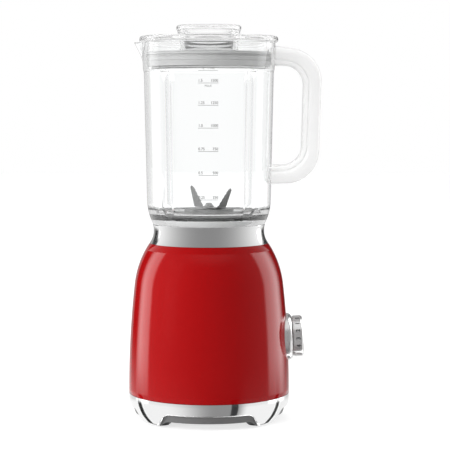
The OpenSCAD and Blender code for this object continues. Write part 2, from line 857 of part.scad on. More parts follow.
module brush_holders() {
    size = [brush_w + 4, 18, brush_w + 2];
    color("saddlebrown") for (s = [0, 180]) rotate([0, 0, s]) difference() {
        box_at(0, commutator_r + 12, brush_z - brush_w / 2 - 1, size);
        translate([-brush_w / 2 - push, commutator_r, brush_z - brush_w / 2 - push])
            cube([brush_w + 2 * push, 20, brush_w + 2 * push]);
    }
}

module carbon_brushes() {
    color("black") for (s = [0, 180]) rotate([0, 0, s])
        translate([-brush_w / 2, commutator_r + gap, brush_z - brush_w / 2]) difference() {
            cube([brush_w, brush_len, brush_w]);
            translate([brush_w / 2, -commutator_r - gap, -past]) cylinder(r = commutator_r + gap, h = brush_w + 2 * past);
        }
}

module brush_springs() {
    from = commutator_r + gap + brush_len;
    color("silver") for (s = [0, 180]) rotate([0, 0, s]) translate([0, from, brush_z]) rotate([-90, 0, 0])
        coil_spring(2.6, 0.3, 4, commutator_r + 20 - from);
}

module motor_bolts() {
    color("silver") around([0, 180], bolt_at) {
        translate([0, 0, lower_top - lower_t]) cylinder(r = bolt_r, h = bracket_top + 2 - lower_top + lower_t);
        translate([0, 0, lower_top - lower_t - screw_head_h]) cylinder(r = screw_head_r, h = screw_head_h);
        translate([0, 0, bracket_top]) cylinder(r = screw_head_r, h = 2, $fn = 6);
    }
}

module motor_shaft() {
    color("silver") translate([0, 0, shaft_bottom]) cylinder(r = motor_shaft_r, h = shaft_top - shaft_bottom);
}

module rotor_core() {
    slots = 12;
    color("slategray") translate([0, 0, core_bottom]) difference() {
        ring(rotor_r, motor_shaft_r + push, core_h);
        around([for (i = [0:slots - 1]) i * 360 / slots], rotor_r - 3.4) translate([0, 0, -past])
            cylinder(r = 2.1, h = core_h + 2 * past);
        for (i = [0:slots - 1]) rotate([0, 0, i * 360 / slots]) translate([rotor_r - 3, -0.7, -past])
            cube([6, 1.4, core_h + 2 * past]);
    }
}

module rotor_windings() {
    head = 6.5;
    color("darkorange") for (z = [core_bottom - head, core_top]) translate([0, 0, z])
        ring(rotor_r - 3.2, motor_shaft_r + 4, head);
}

module commutator() {
    bars = 12;
    h = 14;
    color("peru") translate([0, 0, brush_z - h / 2]) difference() {
        ring(commutator_r, motor_shaft_r + push, h);
        for (i = [0:bars - 1]) rotate([0, 0, i * 360 / bars]) translate([commutator_r - 1, -0.3, -past])
            cube([3, 0.6, h + 2 * past]);
    }
}

module cooling_fan() {
    vanes = 12;
    color("ivory") translate([0, 0, fan_top - fan_h]) difference() {
        union() {
            cylinder(r = fan_r, h = 1.5);
            cylinder(r = motor_shaft_r + 4, h = fan_h);
            for (i = [0:vanes - 1]) rotate([0, 0, i * 360 / vanes]) translate([12, -0.8, 0])
                cube([fan_r - 12.2, 1.6, fan_h]);
        }
        translate([0, 0, -past]) cylinder(r = motor_shaft_r + push, h = fan_h + 2 * past);
    }
}

module drive_socket() {
    color("silver") difference() {
        translate([0, 0, socket_bottom]) cylinder(r = socket_r, h = socket_top - socket_bottom);
        translate([0, 0, socket_floor]) lobes(0.35, socket_top - socket_floor + past);
        translate([0, 0, socket_bottom - past]) cylinder(r = motor_shaft_r + push, h = 20);
    }
}

module coupling_nut() {
    color("silver") translate([0, 0, socket_floor]) difference() {
        cylinder(r = 6.6, h = 3, $fn = 6);
        translate([0, 0, -past]) cylinder(r = motor_shaft_r + push, h = 3 + 2 * past);
    }
}

// ---- Jug ----

module handle() {
    outer_top = [grip_x, handle_top - handle_drop];
    outer_low = [grip_x - grip_lean, handle_low];
    inner_top = outer_top - [handle_bar, handle_bar - handle_drop + 1.4];
    inner_low = outer_low + [1.4 - handle_bar, handle_bar];
    inner_round = grip_round - handle_bar + 5;
    groove_round = (grip_round + inner_round) / 2 - 1;
    rotate([90, 0, 0]) {
        translate([0, 0, -handle_w / 2]) linear_extrude(height = handle_w) difference() {
            polygon(rounded([
                [handle_root, handle_top, 0], [outer_top[0], outer_top[1], grip_round],
                [outer_low[0], outer_low[1], grip_round], [handle_root, handle_low, 0]
            ]));
            polygon(rounded([
                [0, inner_top[1] + groove_step, 0],
                [inner_top[0] + groove_step, inner_top[1] + groove_step, groove_round],
                [inner_low[0] + groove_step, inner_low[1] - groove_step, groove_round],
                [0, inner_low[1] - groove_step, 0]
            ]));
        }
        translate([0, 0, -groove_w / 2]) linear_extrude(height = groove_w) difference() {
            polygon(rounded([
                [handle_root, handle_top, 0], [outer_top[0], outer_top[1], grip_round],
                [outer_low[0], outer_low[1], grip_round], [handle_root, handle_low, 0]
            ]));
            polygon(rounded([
                [0, inner_top[1], 0], [inner_top[0], inner_top[1], inner_round],
                [inner_low[0], inner_low[1], inner_round], [0, inner_low[1], 0]
            ]));
        }
    }
}

module ribs() {
    for (a = rib_angles) rotate([0, 0, a])
        translate([belly_r - jug_wall - rib_h, -rib_w / 2, belly_z]) rotate([0, taper_angle, 0])
            translate([0, 0, floor_z - belly_z - past]) cube([rib_h + 4, rib_w, band_z - floor_z + past - 1]);
}

module jug() {
    color("lightcyan", 0.4) difference() {
        union() {
            rotate_extrude() polygon(concat([[0, jug_bottom]], jug_line(), [[0, jug_top]]));
            translate([spout_x, 0, jug_top - spout_h]) cylinder(r1 = spout_low_r, r2 = spout_r, h = spout_h);
            handle();
        }
        difference() {
            rotate_extrude() polygon(concat([[0, floor_z]], cavity_line(), [[rim_in_r, jug_top + past], [0, jug_top + past]]));
            ribs();
        }
        translate([spout_x, 0, jug_top - spout_h + spout_wall]) cylinder(
            r1 = spout_low_r - spout_wall + (spout_r - spout_low_r) * spout_wall / spout_h,
            r2 = spout_r - spout_wall + (spout_r - spout_low_r) * past / spout_h,
            h = spout_h - spout_wall + past);
        translate([0, 0, jug_bottom - past]) cylinder(r = cup_r, h = floor_under - jug_bottom + past);
        translate([0, 0, floor_under - past]) cylinder(r = barrel_r + gap, h = floor_t + 2 * past);
    }
}

module jug_collar() {
    inner_r = collar_r - collar_wall;
    color("silver") difference() {
        translate([0, 0, collar_bottom]) cylinder(r = collar_r, h = floor_under - collar_bottom);
        translate([0, 0, collar_bottom - past]) cylinder(r = collar_foot_r, h = collar_foot_t + 2 * past);
        translate([0, 0, collar_bottom + collar_foot_t])
            cylinder(r = inner_r, h = floor_under - collar_flange_t - collar_bottom - collar_foot_t);
        translate([0, 0, collar_bottom]) cylinder(r = barrel_r + gap, h = floor_under - collar_bottom + past);
    }
}

module hub_gasket() {
    color("gray") translate([0, 0, floor_z]) ring(hub_flange_r, barrel_r + push, gasket_t);
}

module blade_hub() {
    color("silver") difference() {
        union() {
            translate([0, 0, floor_z + gasket_t]) cylinder(r = hub_flange_r, h = hub_flange_t);
            translate([0, 0, barrel_bottom]) cylinder(r = barrel_r, h = hub_top - barrel_bottom);
        }
        translate([0, 0, barrel_bottom - past]) cylinder(r = blade_shaft_r + 1.5, h = hub_top - barrel_bottom + 2 * past);
        translate([0, 0, barrel_bottom - past]) cylinder(r = bush_r + push, h = bush_h + past);
        translate([0, 0, hub_top - bush_h]) cylinder(r = bush_r + push, h = bush_h + past);
    }
}

module hub_bushes() {
    color("goldenrod") for (z = [barrel_bottom, hub_top - bush_h]) translate([0, 0, z])
        ring(bush_r, blade_shaft_r + running, bush_h);
}

module ring_nut() {
    color("gray") translate([0, 0, floor_under - collar_flange_t - ring_nut_t]) difference() {
        ring(ring_nut_r, barrel_r + push, ring_nut_t);
        for (i = [0:5]) rotate([0, 0, i * 60]) translate([ring_nut_r - 3, -3, -past])
            cube([6, 6, ring_nut_t + 2 * past]);
    }
}

// ---- Blades ----

// Plan of one wing from the axis outwards, with serrations along its leading edge.
module wing_plan(from, to, serrated) {
    tip_w = blade_root_w * 0.55;
    tooth = (to - from) * 0.7 / serrations;
    back = -blade_root_w / 2;
    front = blade_root_w / 2;
    step = (front - (back + tip_w)) / serrations;
    teeth = serrated ? [for (i = [0:serrations - 1]) each [
        [from + (i + 0.85) * tooth, front - (i + 0.85) * step],
        [from + (i + 1) * tooth, front - (i + 1) * step - 1]
    ]] : [];
    polygon(concat([[from, back], [from, front]], teeth, [[to - 2, back + tip_w], [to, back + 1]]));
}

// The outer part of a wing, turned up by an angle at its bend line.
module wing(reach, bend_at, angle, serrated) {
    mid = blade_t / 2;
    translate([bend_at, 0, mid]) rotate([0, -angle, 0]) translate([0, 0, -mid])
        linear_extrude(height = blade_t) wing_plan(-bend_lap, reach, serrated);
}

// A blade on the stud: its flat middle, with an arm to each bend line, and the wings beyond them.
module blade(z, arms, bend_at) {
    color("silver") translate([0, 0, z]) {
        linear_extrude(height = blade_t) difference() {
            union() {
                circle(r = 7.5);
                for (a = arms) rotate(a) translate([0, -blade_root_w / 2]) square([bend_at, blade_root_w]);
            }
            circle(r = stud_r + push);
        }
        children();
    }
}

module lower_blade() {
    arms = [55, 235];
    droop = (blade_reach - 2 - droop_at) / cos(droop_angle);
    blade(stack_z, arms, droop_at) for (a = arms) rotate([0, 0, a]) wing(droop, droop_at, -droop_angle, false);
}

module middle_blade() {
    blade(stack_z + blade_t, [0, 180], droop_at) {
        wing(blade_reach - droop_at, droop_at, 0, true);
        rotate([0, 0, 180]) wing(blade_reach - 2 - droop_at, droop_at, -droop_angle, true);
    }
}

module upper_blade() {
    arms = [118, -56];
    reach = blade_rise / sin(raise_angle);
    blade(stack_z + 2 * blade_t, arms, raise_at) for (a = arms) rotate([0, 0, a]) mirror([0, 1, 0])
        wing(reach, raise_at, raise_angle, true);
}

module blade_nut() {
    from = stack_z + 3 * blade_t;
    color("silver") translate([0, 0, from]) difference() {
        union() {
            cylinder(r = 5, h = 2.4, $fn = 6);
            cylinder(r = 4, h = 5);
        }
        translate([0, 0, -past]) cylinder(r = stud_r + push, h = 3 + past);
    }
}

module blade_shaft() {
    stud_top = stack_z + 3 * blade_t + 2.8;
    color("silver") {
        translate([0, 0, dog_bottom + 1]) cylinder(r = blade_shaft_r, h = hub_top + gap - dog_bottom - 1);
        translate([0, 0, hub_top + gap]) cylinder(r = blade_shaft_r + 1.5, h = shoulder_washer_t);
        translate([0, 0, stack_z]) cylinder(r = stud_r, h = stud_top - stack_z);
    }
}

module drive_dog() {
    color("dimgray") translate([0, 0, dog_bottom]) difference() {
        lobes(0, dog_top - dog_bottom);
        translate([0, 0, 1]) cylinder(r = blade_shaft_r + push, h = dog_top - dog_bottom);
    }
}

// ---- Lid ----

module lid() {
    edge = 2.2;
    plate_z = lid_top - lid_plate_t;
    color("lightcyan", 0.4) rotate_extrude() polygon(rounded([
        [feed_r, lid_top - feed_depth, 0],
        [feed_r + feed_wall, lid_top - feed_depth, 0],
        [feed_r + feed_wall, plate_z, 1.5],
        [plug_r - plug_wall, plate_z, 1.5],
        [plug_r - plug_wall, plug_bottom, 0],
        [plug_r + 1, plug_bottom, 0],
        [plug_r + 1, seal_z, 0],
        [plug_r, seal_z, 0],
        [plug_r, lid_bottom, 0],
        [lid_r, lid_bottom, 1],
        [lid_r, lid_top, edge],
        [feed_r + feed_wall + 0.6, lid_top, 1],
        [feed_r + feed_wall + 0.6, lid_top + feed_rise, 0.6],
        [feed_r, lid_top + feed_rise, 0]
    ]));
}

module lid_seal() {
    lip = 3.2;
    body_r = plug_r + 1.7;
    color("darkgray") rotate_extrude() polygon([
        [plug_r + push, seal_z],
        [body_r, seal_z],
        [seal_r, seal_z + 1.2],
        [seal_r, seal_z + lip],
        [body_r, seal_z + lip + 2],
        [body_r, seal_z + seal_h - lip - 2],
        [seal_r, seal_z + seal_h - lip],
        [seal_r, seal_z + seal_h - 0.6],
        [body_r, seal_z + seal_h],
        [plug_r + push, seal_z + seal_h]
    ]);
}

module measuring_cap() {
    cup_bottom = lid_top - cap_depth;
    cup_in_r = cup_out_r - cup_wall;
    top_t = 3;
    color("lightcyan", 0.4) rotate_extrude() polygon(rounded([
        [0, cap_top - top_t, 0],
        [cup_in_r, cap_top - top_t, 2],
        [cup_in_r, cup_bottom, 0.4],
        [cup_out_r, cup_bottom, 0.4],
        [cup_out_r, cap_z, 0],
        [cap_r - 1.4, cap_z, 0.8],
        [cap_r, cap_top, 1.6],
        [0, cap_top, 0]
    ]));
}

skirt();
floor_plate();
foot_pads();
plate_screws();
housing();
knob_bezel();
switch_nut();
rotary_switch();
cord_gland();
control_board();
board_capacitor();
board_heat_sink();
board_terminals();
neck();
neck_screws();
deck();
seat_ring();
interlock_switch();
motor_mounts();
mount_screws();
upper_bracket();
bearing_outer_race();
bearing_balls();
stator_core();
field_coils();
lower_bracket();
lower_bush();
brush_holders();
carbon_brushes();
brush_springs();
motor_bolts();
motor_shaft();
rotor_core();
rotor_windings();
commutator();
cooling_fan();
bearing_inner_race();
drive_socket();
coupling_nut();
interlock_plunger();
plunger_spring();
knob();
knob_cap();
switch_shaft();
jug();
jug_collar();
hub_gasket();
blade_hub();
ring_nut();
hub_bushes();
blade_shaft();
lower_blade();
middle_blade();
upper_blade();
blade_nut();
drive_dog();
lid();
lid_seal();
measuring_cap();
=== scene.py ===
"""Countertop blender: the looks of every piece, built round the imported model.

Sizes are in millimetres in the classes and become metres where a mesh is made. The drive axis is Z,
the handle and the knob are on +X, and the user is on -Y.
"""
from __future__ import annotations

import json
import logging
import math
from collections.abc import Callable, Iterable, Sequence
from dataclasses import dataclass, field
from enum import Enum

import bmesh
import bpy
import numpy as np
from mathutils import Matrix, Vector

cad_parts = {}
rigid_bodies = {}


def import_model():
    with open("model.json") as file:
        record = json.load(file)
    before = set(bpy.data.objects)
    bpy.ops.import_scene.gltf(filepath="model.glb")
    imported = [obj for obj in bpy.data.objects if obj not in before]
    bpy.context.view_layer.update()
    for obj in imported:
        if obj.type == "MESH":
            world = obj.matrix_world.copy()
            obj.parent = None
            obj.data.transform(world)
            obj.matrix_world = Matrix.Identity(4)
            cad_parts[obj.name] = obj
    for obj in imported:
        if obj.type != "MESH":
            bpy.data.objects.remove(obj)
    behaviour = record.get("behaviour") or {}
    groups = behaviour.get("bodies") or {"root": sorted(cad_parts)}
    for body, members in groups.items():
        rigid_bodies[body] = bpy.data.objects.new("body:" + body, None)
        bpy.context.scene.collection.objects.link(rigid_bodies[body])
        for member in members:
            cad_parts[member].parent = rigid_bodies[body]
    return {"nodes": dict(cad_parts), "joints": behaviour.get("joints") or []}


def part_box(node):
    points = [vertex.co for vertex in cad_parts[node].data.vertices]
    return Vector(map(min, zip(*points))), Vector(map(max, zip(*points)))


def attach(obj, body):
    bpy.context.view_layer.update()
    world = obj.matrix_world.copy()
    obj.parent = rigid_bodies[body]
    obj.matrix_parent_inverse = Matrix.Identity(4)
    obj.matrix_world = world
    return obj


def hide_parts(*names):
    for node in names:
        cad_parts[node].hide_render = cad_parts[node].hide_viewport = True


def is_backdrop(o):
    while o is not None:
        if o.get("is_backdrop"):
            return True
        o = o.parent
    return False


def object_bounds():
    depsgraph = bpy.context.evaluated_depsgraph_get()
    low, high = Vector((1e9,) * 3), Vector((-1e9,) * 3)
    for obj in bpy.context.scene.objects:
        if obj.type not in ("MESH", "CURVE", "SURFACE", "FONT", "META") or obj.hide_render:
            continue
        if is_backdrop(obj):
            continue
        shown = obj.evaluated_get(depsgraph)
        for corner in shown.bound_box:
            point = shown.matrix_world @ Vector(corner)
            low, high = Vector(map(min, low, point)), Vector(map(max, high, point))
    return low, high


log = logging.getLogger("blender_scene")
MM = 0.001
Point = tuple[float, float]
Corner = tuple[float, float, float]


# ---------------------------------------------------------------- outlines


def arc_points(centre: Point, radius: float, start: float, end: float, steps: int) -> list[Point]:
    """Points of an arc.

    Args:
        centre: its centre.
        radius: its radius.
        start: the first angle, in degrees.
        end: the last angle, in degrees.
        steps: how many chords it has.

    Returns:
        steps + 1 points.
    """
    angles = [math.radians(start + (end - start) * i / steps) for i in range(steps + 1)]
    return [(centre[0] + radius * math.cos(a), centre[1] + radius * math.sin(a)) for a in angles]


def round_corner(a: Point, b: Point, c: Point, radius: float) -> list[Point]:
    """The corner at b between a and c, as an arc of that radius.

    Args:
        a: the point before the corner.
        b: the corner.
        c: the point after it.
        radius: the arc's radius.

    Returns:
        The arc's points, or b alone where the radius is nought.
    """
    if radius <= 0:
        return [b]
    u, v = Vector(a) - Vector(b), Vector(c) - Vector(b)
    u, v = u.normalized(), v.normalized()
    half = math.acos(max(-1.0, min(1.0, u.dot(v)))) / 2
    centre = Vector(b) + (u + v).normalized() * (radius / math.sin(half))
    start = Vector(b) + u * (radius / math.tan(half)) - centre
    end = Vector(b) + v * (radius / math.tan(half)) - centre
    sweep = math.atan2(start.x * end.y - start.y * end.x, start.dot(end))
    first = math.atan2(start.y, start.x)
    steps = max(3, math.ceil(abs(math.degrees(sweep)) / 11))
    return arc_points(tuple(centre), radius, math.degrees(first), math.degrees(first + sweep), steps)


def rounded(corners: Sequence[Corner], closed: bool = True) -> list[Point]:
    """A polygon or an open line whose corners are rounded, each by its own third value.

    Args:
        corners: (x, y, radius) rows.
        closed: joins the last corner to the first.

    Returns:
        The points, in order.
    """
    made: list[Point] = []
    count = len(corners)
    for i, (x, y, radius) in enumerate(corners):
        inner = closed or 0 < i < count - 1
        before, after = corners[i - 1], corners[(i + 1) % count]
        made += round_corner(before[:2], (x, y), after[:2], radius if inner else 0)
    return made


@dataclass(frozen=True)
class LeaningArc:
    """An arc in the RZ plane from low to high that starts with a lean and leans further in as it rises."""

    low: Point
    high: Point
    lean: float

    @property
    def end_lean(self) -> float:
        """Lean at the high end, in degrees."""
        return 2 * math.degrees(
            math.atan2(self.low[0] - self.high[0], self.high[1] - self.low[1])
        ) - self.lean

    @property
    def radius(self) -> float:
        """Radius of the arc."""
        rise = math.sin(math.radians(self.end_lean)) - math.sin(math.radians(self.lean))
        return (self.high[1] - self.low[1]) / rise

    @property
    def centre(self) -> Point:
        """Centre of the arc."""
        lean = math.radians(self.lean)
        return self.low[0] - self.radius * math.cos(lean), self.low[1] - self.radius * math.sin(lean)

    def line(self, inset: float, steps: int) -> list[Point]:
        """Points from low to high, moved in by inset."""
        return arc_points(self.centre, self.radius - inset, self.lean, self.end_lean, steps)

    def at(self, z: float) -> float:
        """Radius from the drive axis at a height."""
        return self.centre[0] + math.sqrt(self.radius**2 - (z - self.centre[1]) ** 2)


def smooth_step(low: float, high: float, value: np.ndarray | float) -> np.ndarray | float:
    """0 below low, 1 above high and an easy curve between them."""
    t = np.clip((value - low) / (high - low), 0, 1)
    return t * t * (3 - 2 * t)


# ---------------------------------------------------------------- meshes


def link(name: str, mesh: bpy.types.Mesh) -> bpy.types.Object:
    """Puts a mesh in the scene as an object at the origin.

    Args:
        name: the object's name.
        mesh: its mesh.

    Returns:
        The object.
    """
    piece = bpy.data.objects.new(name, mesh)
    bpy.context.scene.collection.objects.link(piece)
    return piece


def mesh_object(
    name: str, points: Iterable[Sequence[float]], faces: Iterable[Sequence[int]]
) -> bpy.types.Object:
    """An object made from points in millimetres and faces.

    Args:
        name: the object's name.
        points: its points, in millimetres.
        faces: rows of point numbers.

    Returns:
        The object.
    """
    mesh = bpy.data.meshes.new(name)
    mesh.from_pydata([tuple(MM * c for c in p) for p in points], [], list(faces))
    mesh.validate()
    return link(name, mesh)


def tidy(piece: bpy.types.Object, crease: float = 32) -> bpy.types.Object:
    """Merges doubles, points the faces outwards and shades them smooth up to a crease angle.

    Args:
        piece: the object.
        crease: the angle, in degrees.

    Returns:
        The object.
    """
    made = bmesh.new()
    made.from_mesh(piece.data)
    bmesh.ops.remove_doubles(made, verts=made.verts, dist=1e-6)
    bmesh.ops.dissolve_degenerate(made, edges=made.edges, dist=1e-7)
    bmesh.ops.recalc_face_normals(made, faces=made.faces)
    made.to_mesh(piece.data)
    made.free()
    piece.data.shade_smooth()
    piece.data.set_sharp_from_angle(angle=math.radians(crease))
    return piece


def loops_object(
    name: str, loops: Sequence[Sequence[Sequence[float]]], wrap: bool, closed: bool
) -> bpy.types.Object:
    """A surface through loops of equal length.

    Args:
        name: the object's name.
        loops: the loops, each a list of points in millimetres.
        wrap: joins the last loop to the first.
        closed: closes each loop on itself.

    Returns:
        The object; where it doesn't wrap, its ends are capped.
    """
    size = len(loops[0])
    count = len(loops)
    points = [p for loop in loops for p in loop]
    faces = []
    for i in range(count if wrap else count - 1):
        j = (i + 1) % count
        for k in range(size if closed else size - 1):
            m = (k + 1) % size
            faces.append((i * size + k, j * size + k, j * size + m, i * size + m))
    if not wrap:
        faces += [tuple(range(size)), tuple(range((count - 1) * size, count * size))[::-1]]
    return mesh_object(name, points, faces)


def join(name: str, pieces: Sequence[bpy.types.Object]) -> bpy.types.Object:
    """Joins objects into one new object, with each one's material kept.

    Args:
        name: the new object's name.
        pieces: the objects, which are removed.

    Returns:
        The new object.
    """
    made = bmesh.new()
    materials: list[bpy.types.Material] = []
    for piece in pieces:
        start = len(made.faces)
        made.from_mesh(piece.data)
        made.faces.ensure_lookup_table()
        own = piece.data.materials[0] if piece.data.materials else None
        if own not in materials:
            materials.append(own)
        for i in range(start, len(made.faces)):
            made.faces[i].material_index = materials.index(own)
    mesh = bpy.data.meshes.new(name)
    made.to_mesh(mesh)
    made.free()
    for own in materials:
        mesh.materials.append(own)
    for piece in pieces:
        bpy.data.objects.remove(piece)
    return link(name, mesh)


def evaluated(piece: bpy.types.Object) -> bpy.types.Object:
    """Replaces an object's modifiers by the plain mesh that they make.

    Args:
        piece: the object.

    Returns:
        The object.
    """
    graph = bpy.context.evaluated_depsgraph_get()
    mesh = bpy.data.meshes.new_from_object(piece.evaluated_get(graph), depsgraph=graph)
    piece.modifiers.clear()
    piece.data = mesh
    return piece


def reshape(piece: bpy.types.Object, rule: Callable[[Vector], Vector]) -> bpy.types.Object:
    """Moves every point of a mesh by a rule.

    Args:
        piece: the object.
        rule: takes a place in metres and gives the new one.

    Returns:
        The object.
    """
    for vertex in piece.data.vertices:
        vertex.co = rule(vertex.co)
    piece.data.update()
    return piece


# ---------------------------------------------------------------- node trees


class Tree:
    """A node tree that is wired from short calls."""

    def __init__(self, tree: bpy.types.NodeTree) -> None:
        """Wraps a tree."""
        self.tree = tree

    def add(self, kind: str, inputs: dict | None = None, **settings: object) -> bpy.types.Node:
        """Adds a node.

        Args:
            kind: the node's type name.
            inputs: its inputs by name or index; a socket is linked and any other value is set.
            **settings: the node's own properties.

        Returns:
            The node.
        """
        node = self.tree.nodes.new(kind)
        for key, value in settings.items():
            setattr(node, key, value)
        for key, value in (inputs or {}).items():
            if isinstance(value, bpy.types.NodeSocket):
                self.tree.links.new(value, node.inputs[key])
            else:
                node.inputs[key].default_value = value
        return node

    def math(self, operation: str, *values: object) -> bpy.types.NodeSocket:
        """A math node's result."""
        return self.add("ShaderNodeMath", dict(enumerate(values)), operation=operation).outputs[0]


def new_group(name: str, kind: str, inputs: Sequence[tuple], outputs: Sequence[tuple]) -> tuple:
    """A node group with named sockets.

    Args:
        name: the group's name.
        kind: its tree type.
        inputs: (name, socket type, default or None) rows.
        outputs: (name, socket type) rows.

    Returns:
        The tree, its input node and its output node.
    """
    tree = bpy.data.node_groups.new(name, kind)
    for label, socket, default in inputs:
        made = tree.interface.new_socket(label, in_out="INPUT", socket_type=socket)
        if default is not None:
            made.default_value = default
    for label, socket in outputs:
        tree.interface.new_socket(label, in_out="OUTPUT", socket_type=socket)
    return tree, tree.nodes.new("NodeGroupInput"), tree.nodes.new("NodeGroupOutput")


def run_nodes(
    piece: bpy.types.Object, tree: bpy.types.NodeTree, values: dict[str, object]
) -> bpy.types.Object:
    """Runs a Geometry Nodes tree on an object and leaves the plain mesh.

    Args:
        piece: the object, whose mesh is the tree's first input.
        tree: the tree.
        values: its other inputs by name.

    Returns:
        The object.
    """
    modifier = piece.modifiers.new("nodes", "NODES")
    modifier.node_group = tree
    names = {s.name: s.identifier for s in tree.interface.items_tree if s.in_out == "INPUT"}
    for name, value in values.items():
        modifier[names[name]] = value
    evaluated(piece)
    mesh = piece.data
    mesh.polygons.foreach_set("material_index", [0] * len(mesh.polygons))
    mesh.materials.clear()
    mesh.materials.append(values["Finish"])
    return piece


def turned_tree() -> bpy.types.NodeTree:
    """Geometry Nodes that turn a profile, drawn as points (radius, 0, height), about the Z axis.

    Returns:
        The tree.
    """
    tree, source, sink = new_group(
        "turned_shell",
        "GeometryNodeTree",
        [
            ("Profile", "NodeSocketGeometry", None), ("Segments", "NodeSocketInt", 160),
            ("Finish", "NodeSocketMaterial", None),
        ],
        [("Shell", "NodeSocketGeometry")],
    )
    net = Tree(tree)
    count = net.add(
        "GeometryNodeAttributeDomainSize", {"Geometry": source.outputs["Profile"]}
    ).outputs["Point Count"]
    columns = net.math("ADD", source.outputs["Segments"], 1)
    grid = net.add(
        "GeometryNodeMeshGrid", {"Size X": 1.0, "Size Y": 1.0, "Vertices X": columns, "Vertices Y": count}
    )
    here = net.add("GeometryNodeInputPosition").outputs[0]
    place = net.add("ShaderNodeSeparateXYZ", {0: here})
    turn = net.math("MULTIPLY", net.math("ADD", place.outputs["X"], 0.5), 2 * math.pi)
    step = net.math("MULTIPLY", net.math("ADD", place.outputs["Y"], 0.5), net.math("SUBTRACT", count, 1))
    index = net.add("FunctionNodeFloatToInt", {0: step}, rounding_mode="ROUND").outputs[0]
    sample = net.add(
        "GeometryNodeSampleIndex",
        {"Geometry": source.outputs["Profile"], "Index": index},
        data_type="FLOAT_VECTOR",
    )
    value = next(s for s in sample.inputs if s.name == "Value" and s.enabled)
    tree.links.new(here, value)
    found = next(s for s in sample.outputs if s.enabled)
    profile = net.add("ShaderNodeSeparateXYZ", {0: found})
    radius = profile.outputs["X"]
    spot = net.add(
        "ShaderNodeCombineXYZ",
        {
            "X": net.math("MULTIPLY", radius, net.math("COSINE", turn)),
            "Y": net.math("MULTIPLY", radius, net.math("SINE", turn)),
            "Z": profile.outputs["Z"],
        },
    )
    shape = net.add(
        "GeometryNodeSetPosition", {"Geometry": grid.outputs["Mesh"], "Position": spot.outputs[0]}
    )
    merged = net.add("GeometryNodeMergeByDistance", {"Geometry": shape.outputs[0], "Distance": 1e-6})
    real = net.add("GeometryNodeRealizeInstances", {"Geometry": merged.outputs[0]})
    dressed = net.add(
        "GeometryNodeSetMaterial", {"Geometry": real.outputs[0], "Material": source.outputs["Finish"]}
    )
    tree.links.new(dressed.outputs[0], sink.inputs[0])
    return tree


def ring_tree() -> bpy.types.NodeTree:
    """Geometry Nodes that repeat a mesh round the Z axis: Count copies from First, Step degrees apart.

    Returns:
        The tree.
    """
    tree, source, sink = new_group(
        "ring_of_pieces",
        "GeometryNodeTree",
        [
            ("Piece", "NodeSocketGeometry", None),
            ("Count", "NodeSocketInt", 4),
            ("First", "NodeSocketFloat", 0.0),
            ("Step", "NodeSocketFloat", 90.0),
            ("Finish", "NodeSocketMaterial", None),
        ],
        [("Ring", "NodeSocketGeometry")],
    )
    net = Tree(tree)
    points = net.add("GeometryNodePoints", {"Count": source.outputs["Count"]})
    index = net.add("GeometryNodeInputIndex").outputs[0]
    degrees = net.math("ADD", net.math("MULTIPLY", index, source.outputs["Step"]), source.outputs["First"])
    turn = net.add("ShaderNodeCombineXYZ", {"Z": net.math("RADIANS", degrees)})
    copies = net.add(
        "GeometryNodeInstanceOnPoints",
        {"Points": points.outputs[0], "Instance": source.outputs["Piece"], "Rotation": turn.outputs[0]},
    )
    real = net.add("GeometryNodeRealizeInstances", {"Geometry": copies.outputs[0]})
    dressed = net.add(
        "GeometryNodeSetMaterial", {"Geometry": real.outputs[0], "Material": source.outputs["Finish"]}
    )
    tree.links.new(dressed.outputs[0], sink.inputs[0])
    return tree


def graduation_tree() -> bpy.types.NodeTree:
    """Geometry Nodes that stack a line's mesh up the jug's wall, each gap a little less.

    Returns:
        The tree.
    """
    tree, source, sink = new_group(
        "graduations",
        "GeometryNodeTree",
        [
            ("Line", "NodeSocketGeometry", None),
            ("Count", "NodeSocketInt", 6),
            ("First", "NodeSocketFloat", 0.0),
            ("Gap", "NodeSocketFloat", 0.02),
            ("Less Each Time", "NodeSocketFloat", 0.0),
            ("Widening", "NodeSocketFloat", 0.0),
            ("Finish", "NodeSocketMaterial", None),
        ],
        [("Lines", "NodeSocketGeometry")],
    )
    net = Tree(tree)
    points = net.add("GeometryNodePoints", {"Count": source.outputs["Count"]})
    index = net.add("GeometryNodeInputIndex").outputs[0]
    pairs = net.math("MULTIPLY", net.math("MULTIPLY", index, net.math("SUBTRACT", index, 1.0)), 0.5)
    rise = net.math(
        "SUBTRACT",
        net.math("MULTIPLY", index, source.outputs["Gap"]),
        net.math("MULTIPLY", pairs, source.outputs["Less Each Time"]),
    )
    spot = net.add("ShaderNodeCombineXYZ", {"Z": net.math("ADD", rise, source.outputs["First"])})
    wide = net.math("ADD", net.math("MULTIPLY", rise, source.outputs["Widening"]), 1.0)
    size = net.add("ShaderNodeCombineXYZ", {"X": wide, "Y": wide, "Z": 1.0})
    placed = net.add("GeometryNodeSetPosition", {"Geometry": points.outputs[0], "Position": spot.outputs[0]})
    copies = net.add(
        "GeometryNodeInstanceOnPoints",
        {"Points": placed.outputs[0], "Instance": source.outputs["Line"], "Scale": size.outputs[0]},
    )
    real = net.add("GeometryNodeRealizeInstances", {"Geometry": copies.outputs[0]})
    dressed = net.add(
        "GeometryNodeSetMaterial", {"Geometry": real.outputs[0], "Material": source.outputs["Finish"]}
    )
    tree.links.new(dressed.outputs[0], sink.inputs[0])
    return tree


# ---------------------------------------------------------------- finishes


class Effect(Enum):
    """What a surface shows close up."""

    SMOOTH = "smooth"
    GRAIN = "grain"
    BRUSHED = "brushed"
    WOUND = "wound"
    LAMINATED = "laminated"


